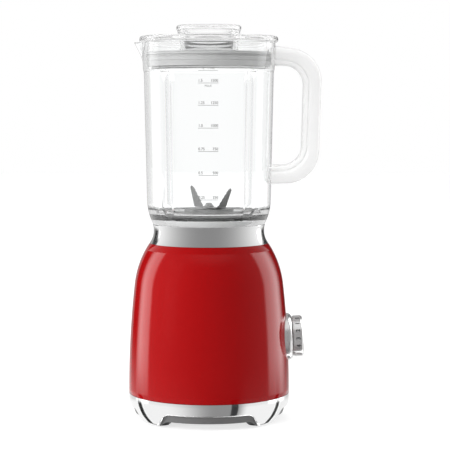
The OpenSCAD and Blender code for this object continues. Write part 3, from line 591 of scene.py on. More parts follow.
@dataclass(frozen=True)
class Finish:
    """An opaque finish: its colour, shine and close-up effect."""

    name: str
    colour: tuple[float, float, float]
    roughness: float = 0.5
    metallic: float = 0.0
    coat: float = 0.0
    effect: Effect = Effect.SMOOTH
    scale: float = 900.0
    depth: float = 0.15
    spread: float = 0.06
    tint: float = 0.06
    specular: float = 0.5
    sheen: float = 1.0


@dataclass(frozen=True)
class ClearFinish:
    """A clear moulded finish: how much light passes, how it bends, how milky it is and how much shade is
    painted at its edges.
    """

    name: str
    colour: tuple[float, float, float] = (1.0, 1.0, 1.0)
    roughness: float = 0.015
    ior: float = 1.38
    milk: float = 0.0
    see_through: float = 0.9
    shine: float = 0.25
    density: float = 4.0
    # edge: painted shade, how much the colour darkens where the wall is seen edge-on
    edge: float = 0.12


class Workshop:
    """Makes the materials and the shared node trees, each once."""

    def __init__(self) -> None:
        """Builds the trees that the pieces share."""
        self.turned = turned_tree()
        self.ring = ring_tree()
        self.graduations = graduation_tree()
        self.effects = {
            Effect.SMOOTH: self._smooth_group(),
            Effect.GRAIN: self._grain_group(),
            Effect.BRUSHED: self._brushed_group(),
            Effect.WOUND: self._lined_group("wound_wire", 0.9, 0.35),
            Effect.LAMINATED: self._lined_group("stacked_sheets", 0.5, 0.2),
        }
        self.made: dict[str, bpy.types.Material] = {}

    def _effect_shell(self, name: str) -> tuple[Tree, bpy.types.Node, bpy.types.Node, bpy.types.NodeSocket]:
        """A group with the sockets that every close-up effect has.

        Args:
            name: the group's name.

        Returns:
            Its tree, input node, output node and the point's place in the piece's own space.
        """
        tree, source, sink = new_group(
            name,
            "ShaderNodeTree",
            [
                ("Colour", "NodeSocketColor", (0.8, 0.8, 0.8, 1)),
                ("Roughness", "NodeSocketFloat", 0.5),
                ("Scale", "NodeSocketFloat", 900.0),
                ("Spread", "NodeSocketFloat", 0.06),
                ("Tint", "NodeSocketFloat", 0.06),
            ],
            [("Colour", "NodeSocketColor"), ("Roughness", "NodeSocketFloat"), ("Height", "NodeSocketFloat")],
        )
        net = Tree(tree)
        return net, source, sink, net.add("ShaderNodeTexCoord").outputs["Object"]

    def _finish_effect(
        self, net: Tree, source: bpy.types.Node, sink: bpy.types.Node, rough: object, shade: object
    ) -> None:
        """Wires a mask into the group's roughness and colour outputs.

        Args:
            net: the group's tree.
            source: its input node.
            sink: its output node.
            rough: the mask for the roughness.
            shade: the mask for the colour.
        """
        wobble = net.math("MULTIPLY", net.math("SUBTRACT", rough, 0.5), source.outputs["Spread"])
        total = net.add(
            "ShaderNodeMath", {0: wobble, 1: source.outputs["Roughness"]}, operation="ADD", use_clamp=True
        )
        net.tree.links.new(total.outputs[0], sink.inputs["Roughness"])
        change = net.math("MULTIPLY", net.math("SUBTRACT", shade, 0.5), source.outputs["Tint"])
        level = net.math("ADD", change, 1.0)
        tinted = net.add("ShaderNodeHueSaturation", {"Value": level, "Color": source.outputs["Colour"]})
        net.tree.links.new(tinted.outputs[0], sink.inputs["Colour"])

    def _smooth_group(self) -> bpy.types.NodeTree:
        """A polished skin with the slight waves and haze of a real one.

        Returns:
            The group.
        """
        net, source, sink, place = self._effect_shell("polished_skin")
        waves = net.add("ShaderNodeTexNoise", {"Vector": place, "Scale": 38.0, "Detail": 1.0})
        haze = net.add(
            "ShaderNodeTexNoise", {"Vector": place, "Scale": source.outputs["Scale"], "Detail": 3.0}
        )
        cloud = net.add("ShaderNodeTexNoise", {"Vector": place, "Scale": 14.0, "Detail": 2.0})
        height = net.math("ADD", waves.outputs[0], net.math("MULTIPLY", haze.outputs[0], 0.04))
        net.tree.links.new(height, sink.inputs["Height"])
        self._finish_effect(net, source, sink, haze.outputs[0], cloud.outputs[0])
        return net.tree

    def _grain_group(self) -> bpy.types.NodeTree:
        """Fine moulded grain.

        Returns:
            The group.
        """
        net, source, sink, place = self._effect_shell("moulded_grain")
        grain = net.add("ShaderNodeTexVoronoi", {"Vector": place, "Scale": source.outputs["Scale"]})
        fine = net.add(
            "ShaderNodeTexNoise", {"Vector": place, "Scale": source.outputs["Scale"], "Detail": 2.0}
        )
        cloud = net.add("ShaderNodeTexNoise", {"Vector": place, "Scale": 25.0, "Detail": 3.0})
        height = net.math("ADD", grain.outputs[0], net.math("MULTIPLY", fine.outputs[0], 0.6))
        net.tree.links.new(height, sink.inputs["Height"])
        self._finish_effect(net, source, sink, fine.outputs[0], cloud.outputs[0])
        return net.tree

    def _brushed_group(self) -> bpy.types.NodeTree:
        """Fine lines that run round the drive axis, as a turned and brushed part has.

        Returns:
            The group.
        """
        net, source, sink, place = self._effect_shell("brushed_round")
        parts = net.add("ShaderNodeSeparateXYZ", {0: place})
        flat = net.add("ShaderNodeCombineXYZ", {"X": parts.outputs["X"], "Y": parts.outputs["Y"]})
        radius = net.add("ShaderNodeVectorMath", {0: flat.outputs[0]}, operation="LENGTH").outputs["Value"]
        sweep = net.math("MULTIPLY", net.math("ARCTAN2", parts.outputs["Y"], parts.outputs["X"]), 0.004)
        along = net.add("ShaderNodeCombineXYZ", {"X": radius, "Y": sweep, "Z": parts.outputs["Z"]})
        lines = net.add(
            "ShaderNodeTexNoise",
            {"Vector": along.outputs[0], "Scale": source.outputs["Scale"], "Detail": 3.0}
        )
        cloud = net.add("ShaderNodeTexNoise", {"Vector": place, "Scale": 30.0, "Detail": 2.0})
        net.tree.links.new(lines.outputs[0], sink.inputs["Height"])
        self._finish_effect(net, source, sink, lines.outputs[0], cloud.outputs[0])
        return net.tree

    def _lined_group(self, name: str, strength: float, haze: float) -> bpy.types.NodeTree:
        """Close parallel lines across the drive axis, as wound wire or stacked sheet has.

        Args:
            name: the group's name.
            strength: the lines' share of the height.
            haze: the spots' share.

        Returns:
            The group.
        """
        net, source, sink, place = self._effect_shell(name)
        lines = net.add(
            "ShaderNodeTexWave",
            {"Vector": place, "Scale": source.outputs["Scale"], "Distortion": 0.4},
            bands_direction="Z",
        )
        spots = net.add("ShaderNodeTexNoise", {"Vector": place, "Scale": 200.0, "Detail": 2.0})
        mixed = net.math(
            "ADD",
            net.math("MULTIPLY", lines.outputs["Fac"], strength),
            net.math("MULTIPLY", spots.outputs[0], haze),
        )
        net.tree.links.new(mixed, sink.inputs["Height"])
        self._finish_effect(net, source, sink, mixed, lines.outputs["Fac"])
        return net.tree

    def material(self, finish: Finish | ClearFinish) -> bpy.types.Material:
        """The material of a finish, made at its first use.

        Args:
            finish: the finish.

        Returns:
            The material.
        """
        if finish.name not in self.made:
            build = self._clear if isinstance(finish, ClearFinish) else self._opaque
            self.made[finish.name] = build(finish)
        return self.made[finish.name]

    def _opaque(self, finish: Finish) -> bpy.types.Material:
        """An opaque material with its close-up effect.

        Args:
            finish: the finish.

        Returns:
            The material.
        """
        material = bpy.data.materials.new(finish.name)
        material.use_nodes = True
        net = Tree(material.node_tree)
        shader = material.node_tree.nodes["Principled BSDF"]
        group = net.add("ShaderNodeGroup", node_tree=self.effects[finish.effect])
        for label, value in (
            ("Colour", (*finish.colour, 1.0)),
            ("Roughness", finish.roughness),
            ("Scale", finish.scale),
            ("Spread", finish.spread),
            ("Tint", finish.tint),
        ):
            group.inputs[label].default_value = value
        bump = net.add(
            "ShaderNodeBump",
            {"Height": group.outputs["Height"], "Strength": finish.depth, "Distance": 0.0001},
        )
        shader.inputs["Metallic"].default_value = finish.metallic
        shader.inputs["Coat Weight"].default_value = finish.coat
        shader.inputs["Coat Roughness"].default_value = 0.03
        shader.inputs["Specular IOR Level"].default_value = finish.specular
        shader.inputs["Specular Tint"].default_value = (1.0, finish.sheen, finish.sheen, 1.0)
        links = material.node_tree.links
        links.new(group.outputs["Colour"], shader.inputs["Base Color"])
        links.new(group.outputs["Roughness"], shader.inputs["Roughness"])
        links.new(bump.outputs[0], shader.inputs["Normal"])
        return material

    def _clear(self, finish: ClearFinish) -> bpy.types.Material:
        """A clear material that lets the lamps through to what it holds.

        Args:
            finish: the finish.

        Returns:
            The material.
        """
        material = bpy.data.materials.new(finish.name)
        material.use_nodes = True
        net = Tree(material.node_tree)
        nodes, links = material.node_tree.nodes, material.node_tree.links
        shader = nodes["Principled BSDF"]
        group = net.add("ShaderNodeGroup", node_tree=self.effects[Effect.SMOOTH])
        for label, value in (
            ("Colour", (*finish.colour, 1.0)),
            ("Roughness", finish.roughness),
            ("Spread", 0.02),
            ("Tint", 0.02),
        ):
            group.inputs[label].default_value = value
        bump = net.add(
            "ShaderNodeBump", {"Height": group.outputs["Height"], "Strength": 0.05, "Distance": 0.0001}
        )
        shader.inputs["IOR"].default_value = finish.ior
        shader.inputs["Transmission Weight"].default_value = 1.0 - finish.milk
        shader.inputs["Specular Tint"].default_value = (finish.shine, finish.shine, finish.shine, 1.0)
        depth = net.add(
            "ShaderNodeVolumeAbsorption", {"Color": (0.0, 0.0, 0.0, 1.0), "Density": finish.density}
        )
        links.new(depth.outputs[0], nodes["Material Output"].inputs["Volume"])
        # Painted shade: the colour darkens where the wall is seen edge-on, by the finish's edge share.
        slant = net.math("POWER", net.add("ShaderNodeLayerWeight", {"Blend": 0.5}).outputs["Facing"], 1.5)
        edge_shade = net.math("SUBTRACT", 1.0, net.math("MULTIPLY", slant, finish.edge))
        shaded = net.add("ShaderNodeHueSaturation", {"Value": edge_shade, "Color": group.outputs["Colour"]})
        links.new(shaded.outputs[0], shader.inputs["Base Color"])
        links.new(group.outputs["Roughness"], shader.inputs["Roughness"])
        links.new(bump.outputs[0], shader.inputs["Normal"])
        path = net.add("ShaderNodeLightPath")
        dim = net.math("MULTIPLY", path.outputs["Is Shadow Ray"], finish.see_through)
        dim = net.math("MAXIMUM", dim, net.math("GREATER_THAN", path.outputs["Glossy Depth"], 2.5))
        passing = net.add("ShaderNodeBsdfTransparent")
        mixed = net.add("ShaderNodeMixShader", {0: dim, 1: shader.outputs[0], 2: passing.outputs[0]})
        links.new(mixed.outputs[0], nodes["Material Output"].inputs["Surface"])
        return material


RED_ENAMEL = Finish(
    "red_enamel", (0.29, 0.0016, 0.0024), roughness=0.09, effect=Effect.SMOOTH, depth=0.10, tint=0.05,
    spread=0.03, specular=0.25, sheen=0.7,
)
SATIN_CHROME = Finish(
    "satin_chrome", (0.80, 0.80, 0.80), roughness=0.16, metallic=1.0, effect=Effect.BRUSHED, scale=2600,
    depth=0.03, spread=0.08,
)
POLISHED_CHROME = Finish(
    "polished_chrome", (0.84, 0.84, 0.84), roughness=0.08, metallic=1.0, effect=Effect.SMOOTH, depth=0.05,
    spread=0.03,
)
KNOB_NICKEL = Finish(
    "knob_nickel", (0.78, 0.78, 0.78), roughness=0.22, metallic=0.8, effect=Effect.BRUSHED, scale=2200,
    depth=0.05, spread=0.08,
)
BLADE_STEEL = Finish(
    "blade_steel", (0.42, 0.42, 0.42), roughness=0.40, metallic=0.75, effect=Effect.BRUSHED, scale=1800,
    depth=0.2, spread=0.12,
)
COLLAR_SATIN = Finish(
    "collar_satin", (0.66, 0.66, 0.66), roughness=0.42, metallic=0.2, effect=Effect.BRUSHED, scale=1800,
    depth=0.1,
)
SILICONE = Finish(
    "grey_silicone", (0.47, 0.47, 0.47), roughness=0.42, effect=Effect.GRAIN, scale=2400, depth=0.05,
    tint=0.04,
)
RUBBER = Finish(
    "black_rubber", (0.022, 0.022, 0.022), roughness=0.72, effect=Effect.GRAIN, scale=1600, depth=0.3
)
UNDER_PLASTIC = Finish(
    "under_plastic", (0.13, 0.13, 0.13), roughness=0.5, effect=Effect.GRAIN, scale=1500, depth=0.2
)
DECK_PLASTIC = Finish(
    "deck_plastic", (0.62, 0.62, 0.62), roughness=0.45, effect=Effect.GRAIN, scale=1500, depth=0.2
)
BLACK_PLASTIC = Finish(
    "black_plastic", (0.02, 0.02, 0.022), roughness=0.4, effect=Effect.GRAIN, scale=1500, depth=0.2
)
DOG_NYLON = Finish(
    "dog_nylon", (0.035, 0.035, 0.037), roughness=0.45, effect=Effect.GRAIN, scale=1500, depth=0.15
)
NATURAL_NYLON = Finish(
    "natural_nylon", (0.72, 0.70, 0.64), roughness=0.45, effect=Effect.GRAIN, scale=1200, depth=0.15
)
SCREW_STEEL = Finish(
    "screw_steel", (0.55, 0.55, 0.55), roughness=0.34, metallic=1.0, effect=Effect.BRUSHED, scale=1500,
    depth=0.2,
)
BRIGHT_STEEL = Finish(
    "bright_steel", (0.66, 0.66, 0.66), roughness=0.18, metallic=1.0, effect=Effect.BRUSHED, scale=1500,
    depth=0.08,
)
CAST_ALLOY = Finish(
    "cast_alloy", (0.56, 0.56, 0.57), roughness=0.48, metallic=1.0, effect=Effect.GRAIN, scale=700, depth=0.4
)
CORE_STEEL = Finish(
    "core_steel", (0.20, 0.20, 0.21), roughness=0.5, metallic=0.9, effect=Effect.LAMINATED, scale=320,
    depth=0.6,
)
COPPER_WIRE = Finish(
    "copper_wire", (0.55, 0.20, 0.07), roughness=0.32, metallic=0.9, effect=Effect.WOUND, scale=260, depth=0.9
)
BRONZE = Finish(
    "sintered_bronze", (0.50, 0.33, 0.12), roughness=0.5, metallic=1.0, effect=Effect.GRAIN, scale=1800,
    depth=0.3,
)
RESIN = Finish("phenolic_resin", (0.20, 0.07, 0.03), roughness=0.4, effect=Effect.GRAIN, scale=600, depth=0.2)
CARBON = Finish(
    "pressed_carbon", (0.02, 0.02, 0.02), roughness=0.6, effect=Effect.GRAIN, scale=1200, depth=0.4
)
LAMINATE = Finish(
    "board_laminate", (0.02, 0.13, 0.05), roughness=0.35, coat=0.4, effect=Effect.GRAIN, scale=500, depth=0.1
)
FILM_CASE = Finish(
    "capacitor_case", (0.50, 0.34, 0.05), roughness=0.35, effect=Effect.GRAIN, scale=600, depth=0.1
)
TERMINAL_BLUE = Finish(
    "terminal_blue", (0.02, 0.06, 0.30), roughness=0.4, effect=Effect.GRAIN, scale=1000, depth=0.15
)
PRINT = Finish("grey_print", (0.16, 0.16, 0.16), roughness=0.5, effect=Effect.GRAIN, scale=2500, depth=0.05)
KNOB_PRINT = Finish(
    "knob_print", (0.03, 0.03, 0.03), roughness=0.5, effect=Effect.GRAIN, scale=2500, depth=0.05
)
CLEAR_JUG = ClearFinish("clear_jug", (0.99, 0.995, 0.995))
CLEAR_LID = ClearFinish("clear_lid", (0.99, 0.99, 0.99), roughness=0.03, milk=0.02, density=1.0, edge=0.08)
MILKY_GRIP = ClearFinish(
    "milky_grip", (0.955, 0.955, 0.955), roughness=0.25, milk=0.22, density=3.0, edge=0.10
)

CAD_FINISHES: dict[str, Finish] = {
    "floor_plate": UNDER_PLASTIC,
    "foot_pads": RUBBER,
    "plate_screws": SCREW_STEEL,
    "switch_nut": SCREW_STEEL,
    "rotary_switch": BLACK_PLASTIC,
    "cord_gland": BLACK_PLASTIC,
    "control_board": LAMINATE,
    "board_capacitor": FILM_CASE,
    "board_heat_sink": CAST_ALLOY,
    "board_terminals": TERMINAL_BLUE,
    "neck_screws": SCREW_STEEL,
    "deck": DECK_PLASTIC,
    "seat_ring": RUBBER,
    "interlock_switch": BLACK_PLASTIC,
    "motor_mounts": RUBBER,
    "mount_screws": SCREW_STEEL,
    "upper_bracket": CAST_ALLOY,
    "bearing_outer_race": BRIGHT_STEEL,
    "bearing_balls": BRIGHT_STEEL,
    "stator_core": CORE_STEEL,
    "field_coils": COPPER_WIRE,
    "lower_bracket": CAST_ALLOY,
    "lower_bush": BRONZE,
    "brush_holders": RESIN,
    "carbon_brushes": CARBON,
    "brush_springs": BRIGHT_STEEL,
    "motor_bolts": SCREW_STEEL,
    "motor_shaft": BRIGHT_STEEL,
    "rotor_core": CORE_STEEL,
    "rotor_windings": COPPER_WIRE,
    "commutator": COPPER_WIRE,
    "cooling_fan": NATURAL_NYLON,
    "bearing_inner_race": BRIGHT_STEEL,
    "drive_socket": DOG_NYLON,
    "coupling_nut": SCREW_STEEL,
    "interlock_plunger": NATURAL_NYLON,
    "plunger_spring": BRIGHT_STEEL,
    "switch_shaft": SCREW_STEEL,
    "jug_collar": COLLAR_SATIN,
    "hub_gasket": SILICONE,
    "ring_nut": DECK_PLASTIC,
    "hub_bushes": BRONZE,
    "blade_shaft": BRIGHT_STEEL,
    "drive_dog": DOG_NYLON,
}


# ---------------------------------------------------------------- pieces


@dataclass
class Assembly:
    """What every sub-assembly shares: the workshop and how a piece is finished and reported."""

    shop: Workshop

    def place(
        self, piece: bpy.types.Object, body: str, slot: str, stands_for: Sequence[str], finish: object = None
    ) -> bpy.types.Object:
        """Dresses a finished piece and ties it to the frame.

        Args:
            piece: the piece, in place.
            body: the body that it rides on.
            slot: the record's material slot; not used.
            stands_for: the nodes that it replaces.
            finish: its finish, where it has none yet.

        Returns:
            The piece.
        """
        if finish is not None:
            piece.data.materials.clear()
            piece.data.materials.append(self.shop.material(finish))
        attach(piece, body)
        if stands_for:
            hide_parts(*stands_for)
        log.info("%s rides on %s, %d faces", piece.name, body, len(piece.data.polygons))
        return piece

    def turn(
        self, name: str, profile: Sequence[Point], finish: object, segments: int = 192
    ) -> bpy.types.Object:
        """Turns a closed profile about the drive axis.

        Args:
            name: the piece's name.
            profile: (radius, height) points.
            finish: its finish.
            segments: steps in one turn.

        Returns:
            The piece.
        """
        points = [(r, 0.0, z) for r, z in profile]
        piece = mesh_object(name, [*points, points[0]], [])
        run_nodes(piece, self.shop.turned, {"Segments": segments, "Finish": self.shop.material(finish)})
        return tidy(piece)

    def repeat(
        self, piece: bpy.types.Object, count: int, first: float, step: float, finish: object
    ) -> bpy.types.Object:
        """Repeats a piece round the drive axis.

        Args:
            piece: the piece.
            count: how many there are.
            first: the first one's azimuth.
            step: the angle between two, in degrees.
            finish: its finish.

        Returns:
            The piece, with all of them in it.
        """
        run_nodes(
            piece, self.shop.ring,
            {"Count": count, "First": first, "Step": step, "Finish": self.shop.material(finish)},
        )
        return tidy(piece)


@dataclass
class MotorBase(Assembly):
    """The domed housing, the neck and the footed skirt."""

    wall: float = 2.6
    lean_in: float = 6.2
    shoulder_h: float = 41.6
    lip_in: float = 2.8
    skirt_curve: float = 50.0
    skirt_band: float = 2.7
    skirt_lift: float = 1.2
    arch_top: float = 14.3
    arch_fillet: float = 8.0
    foot_fillet: float = 2.4
    foot_angle: float = 41.0
    foot_half_top: float = 16.5
    foot_half_low: float = 8.0
    edge: float = 0.5

    def __post_init__(self) -> None:
        """Takes the main sizes from the frame."""
        low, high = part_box("housing")
        self.base_r = high.x / MM
        self.skirt_top = low.z / MM
        self.top = high.z / MM
        neck_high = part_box("neck")[1]
        self.neck_r = neck_high.x / MM
        self.neck_top = neck_high.z / MM
        shoulder = (self.base_r - self.lean_in, self.top - self.shoulder_h)
        self.flank = LeaningArc((self.base_r, self.skirt_top), shoulder, 0.0)
        self.dome = LeaningArc(shoulder, (self.neck_r, self.top), self.flank.end_lean)

    def wall_r(self, z: float) -> float:
        """Radius of the housing's outside at a height."""
        return (self.flank if z < self.dome.low[1] else self.dome).at(z)

    def wall_lean(self, z: float) -> float:
        """Lean of the housing's flank at a height, in degrees."""
        return math.degrees(math.asin((z - self.flank.centre[1]) / self.flank.radius))

    def build(self) -> None:
        """Builds the housing, the neck and the skirt."""
        self.housing()
        self.neck()
        self.skirt()

    def housing(self) -> None:
        """The red shell, with its screw columns and the lugs under the neck."""
        outer = self.flank.line(0, 24) + self.dome.line(0, 28)[1:]
        inner = self.flank.line(self.wall, 12) + self.dome.line(self.wall, 14)[1:]
        low, bottom = outer[0], self.skirt_top
        start = [(low[0] - self.edge, bottom), (low[0] - 0.15, bottom + 0.15), (low[0], bottom + self.edge)]
        end = [
            (self.neck_r - 0.2, self.top - 0.1), (self.neck_r - 0.6, self.top),
            (self.neck_r - self.lip_in, self.top),
        ]
        shell = self.turn("shell", start + outer[1:-1] + end + inner[::-1], RED_ENAMEL, 256)
        column = self.column(self.base_r - self.wall - 11, 6.0, self.skirt_top + 0.05, 33.0)
        columns = self.repeat(column, 2, 18.0, 144.0, RED_ENAMEL)
        column = self.column(self.base_r - self.wall - 11, 6.0, self.skirt_top + 0.05, 33.0)
        more = self.repeat(column, 2, 198.0, 144.0, RED_ENAMEL)
        lug = self.block("lug", (45.6, 66.2), 12.0, (self.top - 16.3, self.top - 12.3))
        lugs = self.repeat(lug, 4, 0.0, 90.0, RED_ENAMEL)
        piece = join("housing_shell", [shell, columns, more, lugs])
        piece.data.set_sharp_from_angle(angle=math.radians(32))
        self.place(piece, "motor_base", "red_enamel", ["housing"])

    def column(self, at: float, radius: float, low: float, height: float) -> bpy.types.Object:
        """A hollow screw column with the web that ties it to the wall.

        Args:
            at: its distance from the drive axis.
            radius: its radius.
            low: its foot's height.
            height: how tall it is.

        Returns:
            The object.
        """
        ring = 28
        levels = [(low, radius, 2.0), (low + height, radius, 2.0)]
        loops = []
        for i in range(ring):
            a = 2 * math.pi * i / ring
            c, s = math.cos(a), math.sin(a)
            (z0, out, bore), (z1, _, _) = levels
            loops.append(
                [
                    (at + out * c, out * s, z0), (at + out * c, out * s, z1), (at + bore * c, bore * s, z1),
                    (at + bore * c, bore * s, z0),
                ]
            )
        tube = loops_object("column", loops, wrap=True, closed=True)
        web = self.block(
            "web", (at + radius - 0.2, self.base_r - self.wall / 2 - 0.8), 3.0, (low, low + height)
        )
        return join("column", [tube, web])

    def block(self, name: str, span: Point, width: float, heights: Point) -> bpy.types.Object:
        """A block on the +X side with softened upright edges.

        Args:
            name: the object's name.
            span: where it begins and ends along X.
            width: its width.
            heights: its underside and its top.

        Returns:
            The object.
        """
        half = width / 2
        plan = rounded(
            [(span[0], -half, 0.8), (span[1], -half, 0.4), (span[1], half, 0.4), (span[0], half, 0.8)]
        )
        loops = [[(x, y, z) for x, y in plan] for z in heights]
        return loops_object(name, loops, wrap=False, closed=True)

    def neck(self) -> None:
        """The waisted chrome neck, with the cup that the jug stands in and its inner ledge."""
        waist_z, waist_r = self.top + 12.7, self.neck_r - 4.2
        curve = (12.7**2 + 4.2**2) / (2 * 4.2)
        cup_r = waist_r - 2.4
        steps = 22
        heights = [self.top + (self.neck_top - 0.5 - self.top) * i / steps for i in range(steps + 1)]
        outer = [(waist_r + curve - math.sqrt(curve**2 - (z - waist_z) ** 2), z) for z in heights]
        rim = outer[-1][0]
        deck_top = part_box("seat_ring")[0].z / MM
        ledge = deck_top - 5.2
        top = [
            (rim - 0.15, self.neck_top - 0.12), (rim - 0.55, self.neck_top), (cup_r + 0.7, self.neck_top),
            (cup_r + 0.15, self.neck_top - 0.2), (cup_r, self.neck_top - 0.7),
        ]
        inner = [
            (cup_r, ledge), (waist_r - 6.8, ledge), (waist_r - 6.8, ledge - 2.5),
            (self.neck_r - 3.0, ledge - 2.5), (self.neck_r - 3.0, self.top),
        ]
        shell = self.turn("neck_shell", outer + top + inner, SATIN_CHROME, 256)
        self.place(shell, "motor_base", "chrome_trim", ["neck"])

    def skirt_r(self, z: float) -> float:
        """Radius of the skirt's outside at a height.

        Args:
            z: the height.

        Returns:
            The radius.
        """
        bend = self.skirt_top - self.skirt_band
        if z >= bend:
            return self.base_r
        return self.base_r - self.skirt_curve + math.sqrt(self.skirt_curve**2 - (bend - z) ** 2)

    def arch_line(self, centre: float, half_top: float, half_low: float) -> list[Point]:
        """One arch's lower edge as (azimuth, height) points, from foot to foot.

        Args:
            centre: the arch's middle, in degrees from +X.
            half_top: half its angle at its top.
            half_low: half its angle at the feet.

        Returns:
            The points, in order of azimuth.
        """
        wide = self.skirt_r(self.skirt_lift) * math.sin(math.radians(half_low))
        narrow = self.skirt_r(self.arch_top) * math.sin(math.radians(half_top))
        foot = wide + 5.0
        line = rounded(
            [
                (-foot, self.skirt_lift, 0),
                (-wide, self.skirt_lift, self.foot_fillet),
                (-narrow, self.arch_top, self.arch_fillet),
                (narrow, self.arch_top, self.arch_fillet),
                (wide, self.skirt_lift, self.foot_fillet),
                (foot, self.skirt_lift, 0),
            ],
            closed=False,
        )
        dense: list[Point] = []
        for (x0, z0), (x1, z1) in zip(line, line[1:]):
            cuts = max(1, int(math.hypot(x1 - x0, z1 - z0) / 1.6))
            dense += [(x0 + (x1 - x0) * i / cuts, z0 + (z1 - z0) * i / cuts) for i in range(cuts)]
        dense.append(line[-1])
        return [(centre + math.degrees(math.asin(x / self.skirt_r(z))), z) for x, z in dense]

    def skirt(self) -> None:
        """The chromed skirt: a curved wall whose lower edge rises in four arches between four feet."""
        side = (self.foot_angle - self.foot_half_top, self.foot_angle - self.foot_half_low)
        front = (90 - self.foot_angle - self.foot_half_top, 90 - self.foot_angle - self.foot_half_low)
        edge: list[Point] = []
        for centre, halves in ((0, side), (90, front), (180, side), (270, front)):
            line = self.arch_line(centre, *halves)
            if edge:
                gap = (line[0][0] - edge[-1][0]) / 6
                edge += [(edge[-1][0] + gap * i, self.skirt_lift) for i in range(1, 6)]
            edge += line
        gap = (edge[0][0] + 360 - edge[-1][0]) / 6
        edge += [(edge[-1][0] + gap * i, self.skirt_lift) for i in range(1, 6)]
        loops = []
        for azimuth, low in edge:
            c, s = math.cos(math.radians(azimuth)), math.sin(math.radians(azimuth))
            loops.append([(r * c, r * s, z) for r, z in self.skirt_section(low)])
        piece = tidy(loops_object("skirt_shell", loops, wrap=True, closed=True), 40)
        self.place(piece, "motor_base", "chrome_trim", ["skirt"], POLISHED_CHROME)

    def skirt_section(self, low: float) -> list[Point]:
        """Closed section of the skirt's wall and flange.

        Args:
            low: the height of its lower edge.

        Returns:
            (radius, height) points.
        """
        soft, rows, top = 0.8, 18, self.skirt_top
        heights = [top - 0.3 - (top - 0.3 - low - soft) * i / rows for i in range(rows + 1)]
        outer = [(self.skirt_r(z), z) for z in heights]
        r_out, r_in = self.skirt_r(low), self.skirt_r(low) - self.wall
        under = [
            (r_out - 0.22, low + 0.22), (r_out - soft, low), (r_in + soft, low), (r_in + 0.22, low + 0.22)
        ]
        flange = top - 2.4
        inner_heights = [low + soft + (flange - 0.2 - low - soft) * i / 8 for i in range(9)]
        inner = [(self.skirt_r(z) - self.wall, z) for z in inner_heights]
        lip = [
            (self.base_r - self.wall - 0.6, flange), (self.base_r - 19.6, flange),
            (self.base_r - 19.6, top - 0.02), (self.base_r - 0.35, top - 0.02),
        ]
        return outer + under + inner + lip


